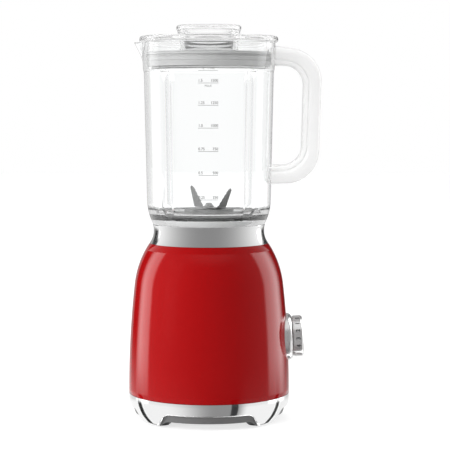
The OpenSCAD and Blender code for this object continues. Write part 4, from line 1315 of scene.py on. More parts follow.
@dataclass
class Control(Assembly):
    """The speed knob, its bezel and its numerals, along the normal of the housing's wall."""

    base: MotorBase
    axis_z: float
    bezel_r: float = 24.0
    bezel_t: float = 5.0
    knob_r: float = 21.0
    knob_from: float = 5.3
    knob_to: float = 15.6
    numeral_h: float = 4.1
    first_elevation: float = 66.0
    numeral_step: float = 21.6

    def __post_init__(self) -> None:
        """Finds the wall's frame at the knob."""
        self.height = self.axis_z / MM
        lean = math.radians(self.base.wall_lean(self.height))
        outward = Vector((math.cos(lean), 0, math.sin(lean)))
        down = Vector((math.sin(lean), 0, -math.cos(lean)))
        across = outward.cross(down)
        origin = Vector((self.base.wall_r(self.height), 0, self.height)) * MM
        self.frame = Matrix((down, across, outward)).transposed().to_4x4()
        self.frame.translation = origin

    def to_wall(self, piece: bpy.types.Object) -> bpy.types.Object:
        """Moves a piece's mesh from the knob's own frame to its place on the wall."""
        piece.data.transform(self.frame)
        return piece

    def build(self) -> None:
        """Builds the bezel, the knob and its face, and the numerals on its rim."""
        self.bezel()
        self.knob()

    def wall_depth(self, x: float, y: float) -> float:
        """Where the wall lies along the knob's axis, at a point of the knob's own plane.

        Args:
            x: the point's first coordinate.
            y: its second.

        Returns:
            The place along the axis, in millimetres.
        """
        depth = 0.0
        for _ in range(12):
            spot = self.frame @ (Vector((x, y, depth)) * MM) / MM
            depth -= (math.hypot(spot.x, spot.y) - self.base.wall_r(spot.z)) * 0.95
        return depth

    def bezel(self) -> None:
        """The ring between knob and wall: its back follows the wall and its front edge is domed."""
        face = rounded(
            [
                (self.bezel_r, -10.0, 0), (self.bezel_r, self.bezel_t, 4.7),
                (self.knob_r - 2.6, self.bezel_t - 0.1, 0.4),
                (self.knob_r - 3.0, self.bezel_t - 0.9, 0.3), (9.6, self.bezel_t - 0.9, 0),
            ],
            closed=False,
        )
        columns = 144
        loops = []
        for i in range(columns):
            a = 2 * math.pi * i / columns
            c, s = math.cos(a), math.sin(a)
            rim = self.wall_depth(self.bezel_r * c, self.bezel_r * s) + 0.02
            throat = self.wall_depth(9.6 * c, 9.6 * s) + 0.12
            section = [(self.bezel_r, rim)] + face[1:] + [(9.6, throat)]
            loops.append([(r * c, r * s, z) for r, z in section])
        piece = tidy(loops_object("knob_bezel_ring", loops, wrap=True, closed=True))
        self.place(self.to_wall(piece), "motor_base", "knob_metal", ["knob_bezel"], KNOB_NICKEL)

    def knob(self) -> None:
        """The knob: a turned cap with a rounded front edge, a groove and a recessed face, hollow behind."""
        r, low, high = self.knob_r, self.knob_from, self.knob_to
        profile = rounded(
            [
                (0.0, high - 0.9, 0), (14.6, high - 0.9, 0.3), (15.2, high - 0.1, 0.3), (r, high, 2.6),
                (r, low + 1.1, 0.15), (r - 0.5, low + 0.8, 0.1), (r - 0.5, low, 0.3), (r - 2.0, low, 0.2),
                (r - 2.0, high - 4.2, 1.0), (6.0, high - 4.2, 0.5), (6.0, low + 0.4, 0.2),
                (3.05, low + 0.4, 0.1),
                (3.05, high - 3.0, 0.1), (0.0, high - 3.0, 0),
            ]
        )
        body = self.turn("knob_body", profile, KNOB_NICKEL)
        self.to_wall(body)
        self.place(body, "control", "knob_metal", ["knob", "knob_cap"])
        figures = []
        for i in range(5):
            elevation = self.first_elevation - self.numeral_step * i
            figures.append(self.numeral(str(i), elevation))
        piece = join("knob_numerals", figures)
        self.place(piece, "control", "knob_metal", [], KNOB_PRINT)

    def numeral(self, text: str, elevation: float) -> bpy.types.Object:
        """A figure on the knob's rim, its head towards the housing.

        Args:
            text: the figure.
            elevation: its angle above the user's side of the knob, in degrees.

        Returns:
            The figure's mesh, in place.
        """
        piece = lettering(f"figure_{text}", text, self.numeral_h * MM, 0.04)
        middle = (self.knob_from + self.knob_to) / 2 + 0.1
        reach = (self.knob_r + 0.02) * MM

        def on_rim(p: Vector) -> Vector:
            """Bends the flat figure round the rim.

            Args:
                p: the point.

            Returns:
                Its new place.
            """
            turn = math.radians(elevation) + p.x / reach
            spread = reach + p.z
            return Vector((-spread * math.sin(turn), -spread * math.cos(turn), middle * MM - p.y))

        reshape(piece, on_rim)
        return self.to_wall(tidy(piece, 60))


def lettering(name: str, text: str, size: float, weight: float = 0.012) -> bpy.types.Object:
    """Flat raised lettering, centred on the origin in the XY plane.

    Args:
        name: the object's name.
        text: what it says.
        size: the height of a figure, in metres.
        weight: how much its strokes are thickened, as a share of the height.

    Returns:
        A mesh object.
    """
    curve = bpy.data.curves.new(name, "FONT")
    curve.body = text
    curve.size = size / 0.72
    curve.align_x = "CENTER"
    curve.align_y = "CENTER"
    curve.extrude = 0.00003
    curve.offset = size * weight
    curve.resolution_u = 3
    holder = bpy.data.objects.new(name, curve)
    bpy.context.scene.collection.objects.link(holder)
    graph = bpy.context.evaluated_depsgraph_get()
    mesh = bpy.data.meshes.new_from_object(holder.evaluated_get(graph), depsgraph=graph)
    bpy.data.objects.remove(holder)
    return link(name, mesh)


@dataclass
class Jug(Assembly):
    """The clear jug with its ribs, spout, handle and litre marks."""

    foot_curve: float = 52.0
    foot_curve_h: float = 24.2
    taper: float = 2.9
    wall: float = 2.8
    band_h: float = 28.0
    rib_w: float = 13.0
    rib_h: float = 4.0
    rib_angles: tuple[float, ...] = (47.0, 133.0, 227.0, 313.0)
    spout_r: float = 19.2
    spout_low_r: float = 8.0
    spout_h: float = 22.0
    spout_wall: float = 2.4
    floor_round: float = 12.0
    collar_room: float = 53.4
    hub_room: float = 22.3

    def __post_init__(self) -> None:
        """Takes the main sizes from the frame."""
        low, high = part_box("jug")
        self.bottom, self.top = low.z / MM, high.z / MM
        self.spout_tip = -low.x / MM
        self.reach = high.x / MM
        self.rim_r = high.y / MM
        self.band_r = self.rim_r - 0.8
        self.shoulder_r = self.band_r - 0.8
        self.belly_r = self.shoulder_r - self.taper
        self.belly_z = self.bottom + self.foot_curve_h
        self.band_z = self.top - self.band_h
        self.under = self.bottom + 6.2
        self.floor = self.under + 3.5
        self.spout_x = self.spout_tip - self.spout_r

    def outer_r(self, z: float) -> float:
        """Radius of the outside at a height, away from the spout.

        Args:
            z: the height.

        Returns:
            The radius.
        """
        if z < self.belly_z:
            drop = self.belly_z - z
            return self.belly_r - self.foot_curve + math.sqrt(self.foot_curve**2 - drop**2)
        if z < self.band_z - 2:
            return self.belly_r + self.taper * (z - self.belly_z) / (self.band_z - 2 - self.belly_z)
        step = float(smooth_step(self.band_z - 2, self.band_z + 1.5, z)) * 0.8
        above = max(0.0, z - self.band_z) / self.band_h * 0.8
        return self.shoulder_r + step + above

    def inner_r(self, z: float) -> float:
        """Radius of the inside at a height, away from the spout and the ribs.

        Args:
            z: the height.

        Returns:
            The radius.
        """
        if z < self.floor + self.floor_round:
            up = self.floor + self.floor_round - z
            return self.belly_r - self.wall - self.floor_round + math.sqrt(
                max(0.0, self.floor_round**2 - up**2)
            )
        share = (z - self.belly_z) / (self.band_z - 2 - self.belly_z)
        lower = self.belly_r - self.wall + self.taper * min(1.0, max(0.0, share))
        ledge = float(smooth_step(self.band_z - 1.6, self.band_z + 0.6, z))
        upper = self.band_r - 2.2 + 0.3 * max(0.0, z - self.band_z) / self.band_h
        return lower + (upper - lower) * ledge

    def spout_reach(self, azimuth: float, z: float, inset: float) -> float:
        """How far from the drive axis the spout's cone is met.

        Args:
            azimuth: the azimuth, in degrees.
            z: the height.
            inset: how far inside the cone's surface.

        Returns:
            The distance, or nought where the cone isn't met.
        """
        rise = (z - (self.top - self.spout_h)) / self.spout_h
        radius = self.spout_low_r + (self.spout_r - self.spout_low_r) * rise - inset
        off = math.radians(azimuth - 180)
        side = self.spout_x * math.sin(off)
        if rise < -0.2 or radius <= abs(side) or abs(azimuth - 180) > 60:
            return 0.0
        return self.spout_x * math.cos(off) + math.sqrt(radius**2 - side**2)

    @staticmethod
    def soft_max(a: float, b: float, soft: float) -> float:
        """The larger of two lengths, with a fillet where they cross.

        Args:
            a: one length.
            b: the other.
            soft: the fillet's reach.

        Returns:
            The length.
        """
        if b <= 0:
            return a
        gap = max(soft - abs(a - b), 0.0) / soft
        return max(a, b) + gap * gap * soft / 4

    def rib(self, azimuth: float, z: float) -> float:
        """How far the ribs stand in from the wall.

        Args:
            azimuth: the azimuth, in degrees.
            z: the height.

        Returns:
            The distance.
        """
        near = min(abs((azimuth - a + 180) % 360 - 180) for a in self.rib_angles)
        across = math.radians(near) * self.belly_r
        flank = 1.0 - float(smooth_step(self.rib_w / 2 - 1.1, self.rib_w / 2 + 0.3, across))
        end = 1.0 - float(smooth_step(self.band_z - 9, self.band_z - 1.2, z))
        return self.rib_h * flank * math.sqrt(max(0.0, end))

    def azimuths(self) -> list[float]:
        """Azimuths of the jug's columns: closer at the ribs' flanks and across the spout.

        Returns:
            The azimuths, in degrees and in order.
        """
        marks = set(np.round(np.arange(0, 360, 2.5), 3).tolist())
        half = math.degrees((self.rib_w / 2 - 0.5) / self.belly_r)
        for a in self.rib_angles:
            for side in (-1, 1):
                marks |= {round(a + side * half + d, 3) for d in np.arange(-1.8, 1.81, 0.36)}
        marks |= {round(180 + d, 3) for d in np.arange(-30, 30.01, 0.75)}
        return sorted(marks)

    def section(self, azimuth: float) -> list[Point]:
        """Closed section of the jug's wall and floor.

        Args:
            azimuth: its azimuth, in degrees.

        Returns:
            (radius, height) points.
        """
        low_rows = [self.bottom + 0.4 + (self.belly_z - self.bottom - 0.4) * i / 12 for i in range(13)]
        mid_rows = [self.belly_z + (self.band_z - 3 - self.belly_z) * i / 22 for i in range(1, 23)]
        top_rows = [self.band_z - 3 + (self.top - 0.9 - self.band_z + 3) * i / 26 for i in range(1, 27)]
        outer = [(self.wet_outer(azimuth, z), z) for z in low_rows + mid_rows + top_rows]
        rim_out, rim_in = self.wet_outer(azimuth, self.top), self.wet_inner(azimuth, self.top)
        rim = [
            (rim_out - 0.25, self.top - 0.25), (rim_out - 0.9, self.top), (rim_in + 0.9, self.top),
            (rim_in + 0.25, self.top - 0.25),
        ]
        inner_top = [(self.wet_inner(azimuth, z), z) for z in reversed(top_rows)]
        inner_mid = [(self.wet_inner(azimuth, z), z) for z in reversed(mid_rows)]
        turn = [math.radians(i * 90 / 12) for i in range(13)]
        corner = [
            (self.wet_inner(azimuth, z), z)
            for z in [self.belly_z, (self.belly_z + self.floor + self.floor_round) / 2]
        ]
        base = self.belly_r - self.wall - self.floor_round
        shift = self.rib(azimuth, self.floor)
        bend = [
            (base + self.floor_round * math.cos(t) - shift, self.floor + self.floor_round * (1 - math.sin(t)))
            for t in turn
        ]
        floor = [(self.hub_room + 0.3, self.floor), (self.hub_room, self.floor - 0.3)]
        under = [
            (self.hub_room, self.under + 0.3), (self.hub_room + 0.3, self.under),
            (self.collar_room - 0.6, self.under),
            (self.collar_room, self.under - 0.6), (self.collar_room, self.bottom + 0.5),
            (self.collar_room + 0.5, self.bottom), (self.outer_r(self.bottom) - 0.4, self.bottom),
        ]
        return outer + rim + inner_top + inner_mid + corner + bend + floor + under

    def wet_outer(self, azimuth: float, z: float) -> float:
        """Radius of the outside with the spout."""
        return self.soft_max(self.outer_r(z), self.spout_reach(azimuth, z, 0.0), 2.5)

    def wet_inner(self, azimuth: float, z: float) -> float:
        """Radius of the inside with the spout and the ribs."""
        plain = self.inner_r(z) - self.rib(azimuth, z)
        return self.soft_max(plain, self.spout_reach(azimuth, z, self.spout_wall), 2.0)

    def build(self) -> None:
        """Builds the body, the handle and the marks."""
        loops = []
        for azimuth in self.azimuths():
            c, s = math.cos(math.radians(azimuth)), math.sin(math.radians(azimuth))
            loops.append([(r * c, r * s, z) for r, z in self.section(azimuth)])
        body = tidy(loops_object("jug_body", loops, wrap=True, closed=True), 50)
        self.place(body, "jug", "clear_jug", ["jug"], CLEAR_JUG)
        Handle(self.shop, self).build()
        Marks(self.shop, self).build()


@dataclass
class Handle(Assembly):
    """The moulded handle: a broad outer bar with a narrower inner web, swept along a rounded rectangle."""

    jug: Jug
    width: float = 26.0
    web_width: float = 17.0
    web_depth: float = 6.4
    bar: float = 18.6
    drop: float = 6.8
    lean: float = 4.0
    span: float = 138.4
    outer_round: float = 33.0
    inner_round: float = 19.4

    def rail(self, corners: Sequence[Corner]) -> list[Point]:
        """Points along one edge of the handle, in matched stretches.

        Args:
            corners: the four corners, from root to root.

        Returns:
            The points.
        """
        (x0, z0, _), a, b, (x1, z1, _) = corners
        first = round_corner((x0, z0), a[:2], b[:2], a[2])
        second = round_corner(a[:2], b[:2], (x1, z1), b[2])
        first, second = self.even(first, 16), self.even(second, 16)
        return [
            *self.between((x0, z0), first[0], 8), *first, *self.between(first[-1], second[0], 14)[1:],
            *second, *self.between(second[-1], (x1, z1), 8)[1:], (x1, z1),
        ]

    @staticmethod
    def between(a: Point, b: Point, steps: int) -> list[Point]:
        """Points from a up to, but without, b."""
        return [(a[0] + (b[0] - a[0]) * i / steps, a[1] + (b[1] - a[1]) * i / steps) for i in range(steps)]

    @staticmethod
    def even(line: Sequence[Point], steps: int) -> list[Point]:
        """An arc's points respaced to a set number of steps.

        Args:
            line: the points.
            steps: the number of steps.

        Returns:
            steps + 1 points.
        """
        data = np.array(line)
        share = np.linspace(0, len(data) - 1, steps + 1)
        return [
            (
                float(np.interp(s, range(len(data)), data[:, 0])),
                float(np.interp(s, range(len(data)), data[:, 1])),
            )
            for s in share
        ]

    def section(self, depth: float) -> list[Point]:
        """Closed section of the handle.

        Args:
            depth: the bar's depth.

        Returns:
            (depth from the inner edge, sideways) points.
        """
        wide, web = self.width / 2, self.web_width / 2
        half = [
            (0.0, 0.0, 0), (0.0, web, 3.4), (self.web_depth, web, 0.9), (self.web_depth + 0.3, wide, 2.2),
            (depth, wide, 6.5), (depth, 0.0, 0),
        ]
        right = rounded(half, closed=False)
        left = [(d, -y) for d, y in reversed(right[1:-1])]
        return right + left

    def build(self) -> None:
        """Builds the handle."""
        jug = self.jug
        top = jug.top - 3.0
        low = top - self.span
        grip = jug.reach + 0.9
        root_in = jug.shoulder_r - 1.0
        outer = self.rail(
            [
                (root_in, top - 0.4, 0), (grip, top - self.drop, self.outer_round),
                (grip - self.lean, low, self.outer_round), (jug.belly_r - 0.6, low, 0),
            ]
        )
        inner = self.rail(
            [
                (root_in, top - self.bar - 1.4, 0), (grip - self.bar, top - self.bar - 1.4, self.inner_round),
                (grip - self.lean - self.bar + 1.4, low + self.bar, self.inner_round),
                (jug.belly_r - 0.6, low + self.bar, 0),
            ]
        )
        loops = []
        for (xo, zo), (xi, zi) in zip(outer, inner):
            depth = math.hypot(xo - xi, zo - zi)
            ux, uz = (xo - xi) / depth, (zo - zi) / depth
            loops.append([(xi + ux * d, y, zi + uz * d) for d, y in self.section(depth)])
        piece = loops_object("jug_handle", loops, wrap=False, closed=True)
        self.flare(piece)
        tidy(piece, 45)
        self.place(piece, "jug", "clear_jug", [], MILKY_GRIP)

    def flare(self, piece: bpy.types.Object) -> None:
        """Widens both roots a little where they run into the jug's wall, and keeps them outside its bore.

        Args:
            piece: the handle.
        """
        jug = self.jug

        def rule(p: Vector) -> Vector:
            """Moves one point.

            Args:
                p: the point.

            Returns:
                Its new place.
            """
            x, y, z = p.x / MM, p.y / MM, p.z / MM
            near = 1.0 - float(smooth_step(jug.shoulder_r, jug.shoulder_r + 9, x))
            y *= 1 + 0.12 * near
            wall = jug.outer_r(z) - 0.5
            x = max(x, math.sqrt(max(0.0, wall**2 - y**2)))
            return Vector((x, y, z)) * MM

        reshape(piece, rule)


@dataclass
class Marks(Assembly):
    """The litre and millilitre marks printed on the front of the jug."""

    jug: Jug
    first: float = 225.1
    gap: float = 23.9
    less: float = 0.6
    count: int = 6
    line_w: float = 19.4
    line_h: float = 0.42
    figure_h: float = 2.7

    def height(self, index: int) -> float:
        """Height of a mark."""
        return self.first + self.gap * index - self.less * index * (index - 1) / 2

    def on_wall(self, piece: bpy.types.Object, shift: float, z: float) -> bpy.types.Object:
        """Bends flat lettering onto the jug's front.

        Args:
            piece: the lettering.
            shift: how far it is moved sideways.
            z: its height.

        Returns:
            The piece.
        """
        reach = (self.jug.outer_r(z) + 0.03) * MM

        def rule(p: Vector) -> Vector:
            """Wraps one point round the wall.

            Args:
                p: the point.

            Returns:
                Its new place.
            """
            turn = (p.x + shift * MM) / reach
            spread = (self.jug.outer_r(z + p.y / MM) + 0.03) * MM + p.z
            return Vector((spread * math.sin(turn), -spread * math.cos(turn), z * MM + p.y))

        return tidy(reshape(piece, rule), 60)

    def build(self) -> None:
        """Builds the lines by Geometry Nodes and the figures above them."""
        pieces = [self.lines()]
        side = self.line_w / 2
        for i in range(self.count):
            volume = 250 * (i + 1)
            litres = f"{volume / 1000:.2f}".rstrip("0") if volume % 1000 else f"{volume / 1000:.1f}"
            z = self.height(i) + self.figure_h / 2 + 1.0
            for text, edge in ((litres, -1), (str(volume), 1)):
                figure = lettering("figure", text, self.figure_h * MM, 0.02)
                half = max(abs(v.co.x) for v in figure.data.vertices) / MM
                pieces.append(self.on_wall(figure, edge * (side - half), z))
        top = self.height(self.count - 1)
        pieces.append(self.on_wall(lettering("word", "MAX", 2.3 * MM, 0.0), 0.0, top - 2.9))
        heading = top + 12.1
        pieces.append(self.on_wall(lettering("word", "L", 2.5 * MM, 0.0), -4.4, heading + 2.2))
        pieces.append(self.on_wall(self.bar(0.3, 2.6), 0.0, heading + 2.2))
        pieces.append(self.on_wall(lettering("word", "mL", 2.5 * MM, 0.0), 4.4, heading + 2.2))
        pieces.append(self.on_wall(self.bar(self.line_w, 0.35), 0.0, heading))
        piece = join("jug_marks", pieces)
        self.place(piece, "jug", "clear_jug", [], PRINT)

    def bar(self, width: float, height: float) -> bpy.types.Object:
        """A flat bar in the XY plane, cut finely enough to bend.

        Args:
            width: its width.
            height: its height.

        Returns:
            The object.
        """
        steps = max(2, int(width / 0.8))
        xs = [(-width / 2 + width * i / steps) * MM for i in range(steps + 1)]
        half, thick = height / 2 * MM, 0.03 * MM
        loops = [
            [
                (x / MM, -half / MM, -thick / MM), (x / MM, half / MM, -thick / MM),
                (x / MM, half / MM, thick / MM), (x / MM, -half / MM, thick / MM),
            ]
            for x in xs
        ]
        return loops_object("bar", loops, wrap=False, closed=True)

    def lines(self) -> bpy.types.Object:
        """The lines under the figures.

        Returns:
            The piece.
        """
        piece = self.on_wall(self.bar(self.line_w, self.line_h), 0.0, self.first)
        for vertex in piece.data.vertices:
            vertex.co.z -= self.first * MM
        low, high = self.jug.outer_r(self.first), self.jug.outer_r(self.height(self.count - 1))
        rise = self.height(self.count - 1) - self.first
        widening = (high - low) / low / (rise * MM)
        run_nodes(
            piece, self.shop.graduations,
            {
                "Count": self.count, "First": self.first * MM, "Gap": self.gap * MM,
                "Less Each Time": self.less * MM,
                "Widening": widening, "Finish": self.shop.material(PRINT),
            },
        )
        return tidy(piece, 60)


@dataclass
class BladeSet(Assembly):
    """The blades, the hub that they turn in and the nut that holds them."""

    thickness: float = 1.2
    root: float = 12.0
    bend_at: float = 19.0
    bend_round: float = 2.4
    teeth: int = 6

    def build(self) -> None:
        """Builds the three blades, the nut and the hub."""
        for node, wings in (
            ("lower_blade", ((55.0, 31.0, -6.0, False), (235.0, 31.0, -6.0, False))),
            ("middle_blade", ((0.0, 32.0, 0.0, True), (180.0, 30.0, -6.0, True))),
            ("upper_blade", ((118.0, 46.5, 53.0, True), (-56.0, 46.5, 53.0, True))),
        ):
            self.blade(node, wings)
        self.nut()
        self.hub()

    def blade(self, node: str, wings: Sequence[tuple[float, float, float, bool]]) -> None:
        """One blade with its wings.

        Args:
            node: the CAD node that it replaces.
            wings: (azimuth, length along the metal, bend angle, serrated) rows.
        """
        plates_down = {"lower_blade": 3, "middle_blade": 2, "upper_blade": 1}[node]
        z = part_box("blade_nut")[0].z / MM - plates_down * self.thickness
        plates = [
            self.wing(azimuth, length, angle, serrated, z) for azimuth, length, angle, serrated in wings
        ]
        disc = self.turn(
            "disc",
            rounded(
                [(3.02, z, 0), (7.5, z, 0.2), (7.5, z + self.thickness, 0.2), (3.02, z + self.thickness, 0)]
            ),
            BLADE_STEEL, 48,
        )
        piece = join(f"{node}_plate", [disc, *plates])
        piece.data.set_sharp_from_angle(angle=math.radians(30))
        self.place(piece, "blades", "blade_steel", [node], BLADE_STEEL)

    def wing(self, azimuth: float, length: float, angle: float, serrated: bool, z: float) -> bpy.types.Object:
        """A wing as sections along its length, ground to an edge and bent at its bend line.

        Args:
            azimuth: its azimuth, in degrees.
            length: its length along the metal.
            angle: its bend, in degrees, upwards where positive.
            serrated: cuts teeth in its edge.
            z: the plate's underside.

        Returns:
            The object.
        """
        stations = 90 if serrated else 40
        c, s = math.cos(math.radians(azimuth)), math.sin(math.radians(azimuth))
        loops = []
        for i in range(stations + 1):
            along = 2.0 + (length - 2.0) * i / stations
            back, front = self.edges(along, length, serrated)
            grind = min(2.6, (front - back) * 0.45)
            t = self.thickness
            section = [
                (back, 0.15), (back, t - 0.15), (back + 0.15, t), (front - grind, t), (front, 0.12),
                (front - 0.1, 0.0), (back + 0.15, 0.0),
            ]
            loop = []
            for y, h in section:
                x, up = self.bent(along, h - t / 2, angle)
                side = -y if angle > 0 else y
                loop.append((x * c - side * s, x * s + side * c, z + t / 2 + up))
            loops.append(loop)
        return tidy(loops_object("wing", loops, wrap=False, closed=True), 30)

    def edges(self, along: float, length: float, serrated: bool) -> Point:
        """The back and front edge of a wing at a distance along it.

        Args:
            along: the distance.
            length: the wing's length.
            serrated: cuts teeth in its front edge.

        Returns:
            The back edge and the front edge.
        """
        half = self.root / 2
        share = max(0.0, (along - self.bend_at) / (length - self.bend_at))
        back = -half + share * half * 0.45
        front = half - share * half * 0.80
        near_tip = max(0.0, (share - 0.90) / 0.10)
        tip = max(0.12, math.sqrt(max(0.0, 1.0 - near_tip**2)))
        middle = back * 0.7 + front * 0.3
        back, front = middle + (back - middle) * tip, middle + (front - middle) * tip
        if serrated and 0.02 < share < 0.93:
            pitch = (share * self.teeth) % 1.0
            front -= 1.5 * (pitch if pitch < 0.75 else (1 - pitch) * 3)
        return back, front

    def bent(self, along: float, height: float, angle: float) -> Point:
        """Where a point of the flat plate goes when the plate is bent at its bend line.

        Args:
            along: its distance along the plate.
            height: its height over the plate's middle.
            angle: the bend, in degrees.

        Returns:
            Its new distance and height.
        """
        if abs(angle) < 0.1 or along <= self.bend_at:
            return along, height
        full = math.radians(abs(angle))
        sign = math.copysign(1.0, angle)
        turn = min((along - self.bend_at) / self.bend_round, full)
        rest = along - self.bend_at - turn * self.bend_round
        radius = self.bend_round - sign * height
        x = self.bend_at + radius * math.sin(turn) + rest * math.cos(turn)
        up = sign * (self.bend_round - radius * math.cos(turn) + rest * math.sin(turn))
        return x, up

    def nut(self) -> None:
        """The domed cap nut: a hexagon with a turned dome."""
        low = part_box("blade_nut")[0].z / MM
        hexagon = [
            (5.0 * math.cos(math.radians(60 * i)), 5.0 * math.sin(math.radians(60 * i)), 0.4)
            for i in range(6)
        ]
        plan = rounded(hexagon)
        loops = [
            [(x * k, y * k, low + h) for x, y in plan]
            for k, h in ((0.95, 0.0), (1.0, 0.25), (1.0, 2.1), (0.93, 2.5))
        ]
        body = tidy(loops_object("hexagon", loops, wrap=False, closed=True))
        body.data.materials.append(self.shop.material(BLADE_STEEL))
        dome = self.turn(
            "dome",
            rounded([(0.0, low + 2.3, 0), (4.0, low + 2.3, 0), (4.0, low + 5.0, 2.4), (0.0, low + 5.0, 0)]),
            BLADE_STEEL, 48,
        )
        piece = join("blade_cap_nut", [body, dome])
        piece.data.set_sharp_from_angle(angle=math.radians(30))
        self.place(piece, "blades", "blade_steel", ["blade_nut"], BLADE_STEEL)

    def hub(self) -> None:
        """The turned hub that seals the jug's floor, with a raised collar round the shaft."""
        low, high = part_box("blade_hub")
        bottom, top = low.z / MM, high.z / MM
        r = high.x / MM
        profile = rounded(
            [
                (8.02, bottom, 0.3), (22.0, bottom, 0.6), (22.0, top - 1.3, 0.1), (r, top - 1.3, 0.4),
                (r, top, 0.5),
                (19.0, top, 0.3), (18.4, top - 0.5, 0.3), (12.5, top - 0.5, 0.3), (11.9, top, 0.3),
                (8.02, top, 0.3),
            ]
        )
        self.place(self.turn("blade_hub_turned", profile, BLADE_STEEL), "jug", "blade_steel", ["blade_hub"])


@dataclass
class Lid(Assembly):
    """The lid, its two-lipped seal and the measuring cap."""

    def build(self) -> None:
        """Builds the three pieces."""
        self.lid()
        self.seal()
        self.cap()

    def lid(self) -> None:
        """The clear lid: a flange, a plug wall and a collar round the feed hole."""
        low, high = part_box("lid")
        r = high.x / MM
        jug_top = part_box("jug")[1].z / MM
        bottom = jug_top + 0.3
        top = bottom + 5.7
        plate = top - 3.4
        plug = 60.6
        feed = 27.3
        seal_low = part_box("lid_seal")[0].z / MM
        profile = rounded(
            [
                (feed, top - 12.0, 0.6), (feed + 2.4, top - 12.0, 0.6), (feed + 2.4, plate, 1.5),
                (plug - 2.6, plate, 1.5),
                (plug - 2.6, low.z / MM, 0.8), (plug + 1.0, low.z / MM, 0.5),
                (plug + 1.0, seal_low - 0.05, 0.3),
                (plug, seal_low - 0.05, 0.1), (plug, bottom, 0.6), (r - 1.2, bottom, 0.4),
                (r, bottom + 0.5, 0.9), (r, top, 2.4),
                (plug + 4.4, top, 0.4), (plug + 4.0, top - 0.5, 0.3), (plug + 2.2, top - 0.5, 0.3),
                (plug + 1.8, top, 0.4),
                (feed + 3.2, top, 1.0), (feed + 3.0, high.z / MM, 0.7), (feed, high.z / MM, 0.6),
            ]
        )
        self.place(self.turn("lid_body", profile, CLEAR_LID, 256), "lid", "clear_jug", ["lid"])

    def seal(self) -> None:
        """The silicone seal: two soft lips with a groove between them."""
        low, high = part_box("lid_seal")
        z0, z1, r = low.z / MM + 1.2, high.z / MM, high.x / MM
        inner = 60.62
        profile = rounded(
            [
                (inner, z0, 0.2), (r - 2.1, z0, 0.4), (r - 1.7, z0 + 1.3, 0.4), (r, z0 + 4.9, 0.7),
                (r - 1.3, z0 + 5.9, 0.6),
                (r - 1.3, z0 + 8.6, 0.5), (r - 0.3, z0 + 9.6, 0.5), (r - 1.9, z0 + 10.2, 0.3),
                (r - 1.9, z0 + 10.9, 0.3),
                (r, z0 + 11.6, 0.5), (r, z1 - 1.2, 0.7), (r - 1.4, z1, 0.6), (inner, z1, 0.3),
            ]
        )
        self.place(self.turn("lid_seal_ring", profile, SILICONE), "lid", "seal_silicone", ["lid_seal"])

    def cap(self) -> None:
        """The measuring cap: a hollow cup under a broad, softly flared head."""
        low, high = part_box("measuring_cap")
        z0, z1 = low.z / MM, high.z / MM
        r = 32.6
        head = z1 - 9.0
        cup = r - 5.7
        profile = rounded(
            [
                (0.0, z1 - 3.0, 0), (cup - 2.0, z1 - 3.0, 2.0), (cup - 2.2, z0, 0.6), (cup - 0.2, z0, 0.6),
                (cup, head, 0.5),
                (r - 1.4, head, 0.9), (r - 0.8, head + 4.0, 0.8), (r, head + 5.0, 0.8), (r, z1, 1.8),
                (24.4, z1, 0.5),
                (24.0, z1 - 0.5, 0.3), (23.2, z1 - 0.5, 0.3), (22.8, z1, 0.5), (0.0, z1, 0),
            ]
        )
        self.place(
            self.turn("measuring_cap_body", profile, CLEAR_LID, 192), "cap", "clear_jug", ["measuring_cap"]
        )


# ---------------------------------------------------------------- studio


@dataclass(frozen=True)
class Card:
    """A soft-edged patch of what shiny surfaces show, in degrees round from the user's side."""

    azimuths: Point
    elevations: Point
    level: float
    soft: Point = (3.0, 3.0)
    soft_up: Point = (6.0, 6.0)


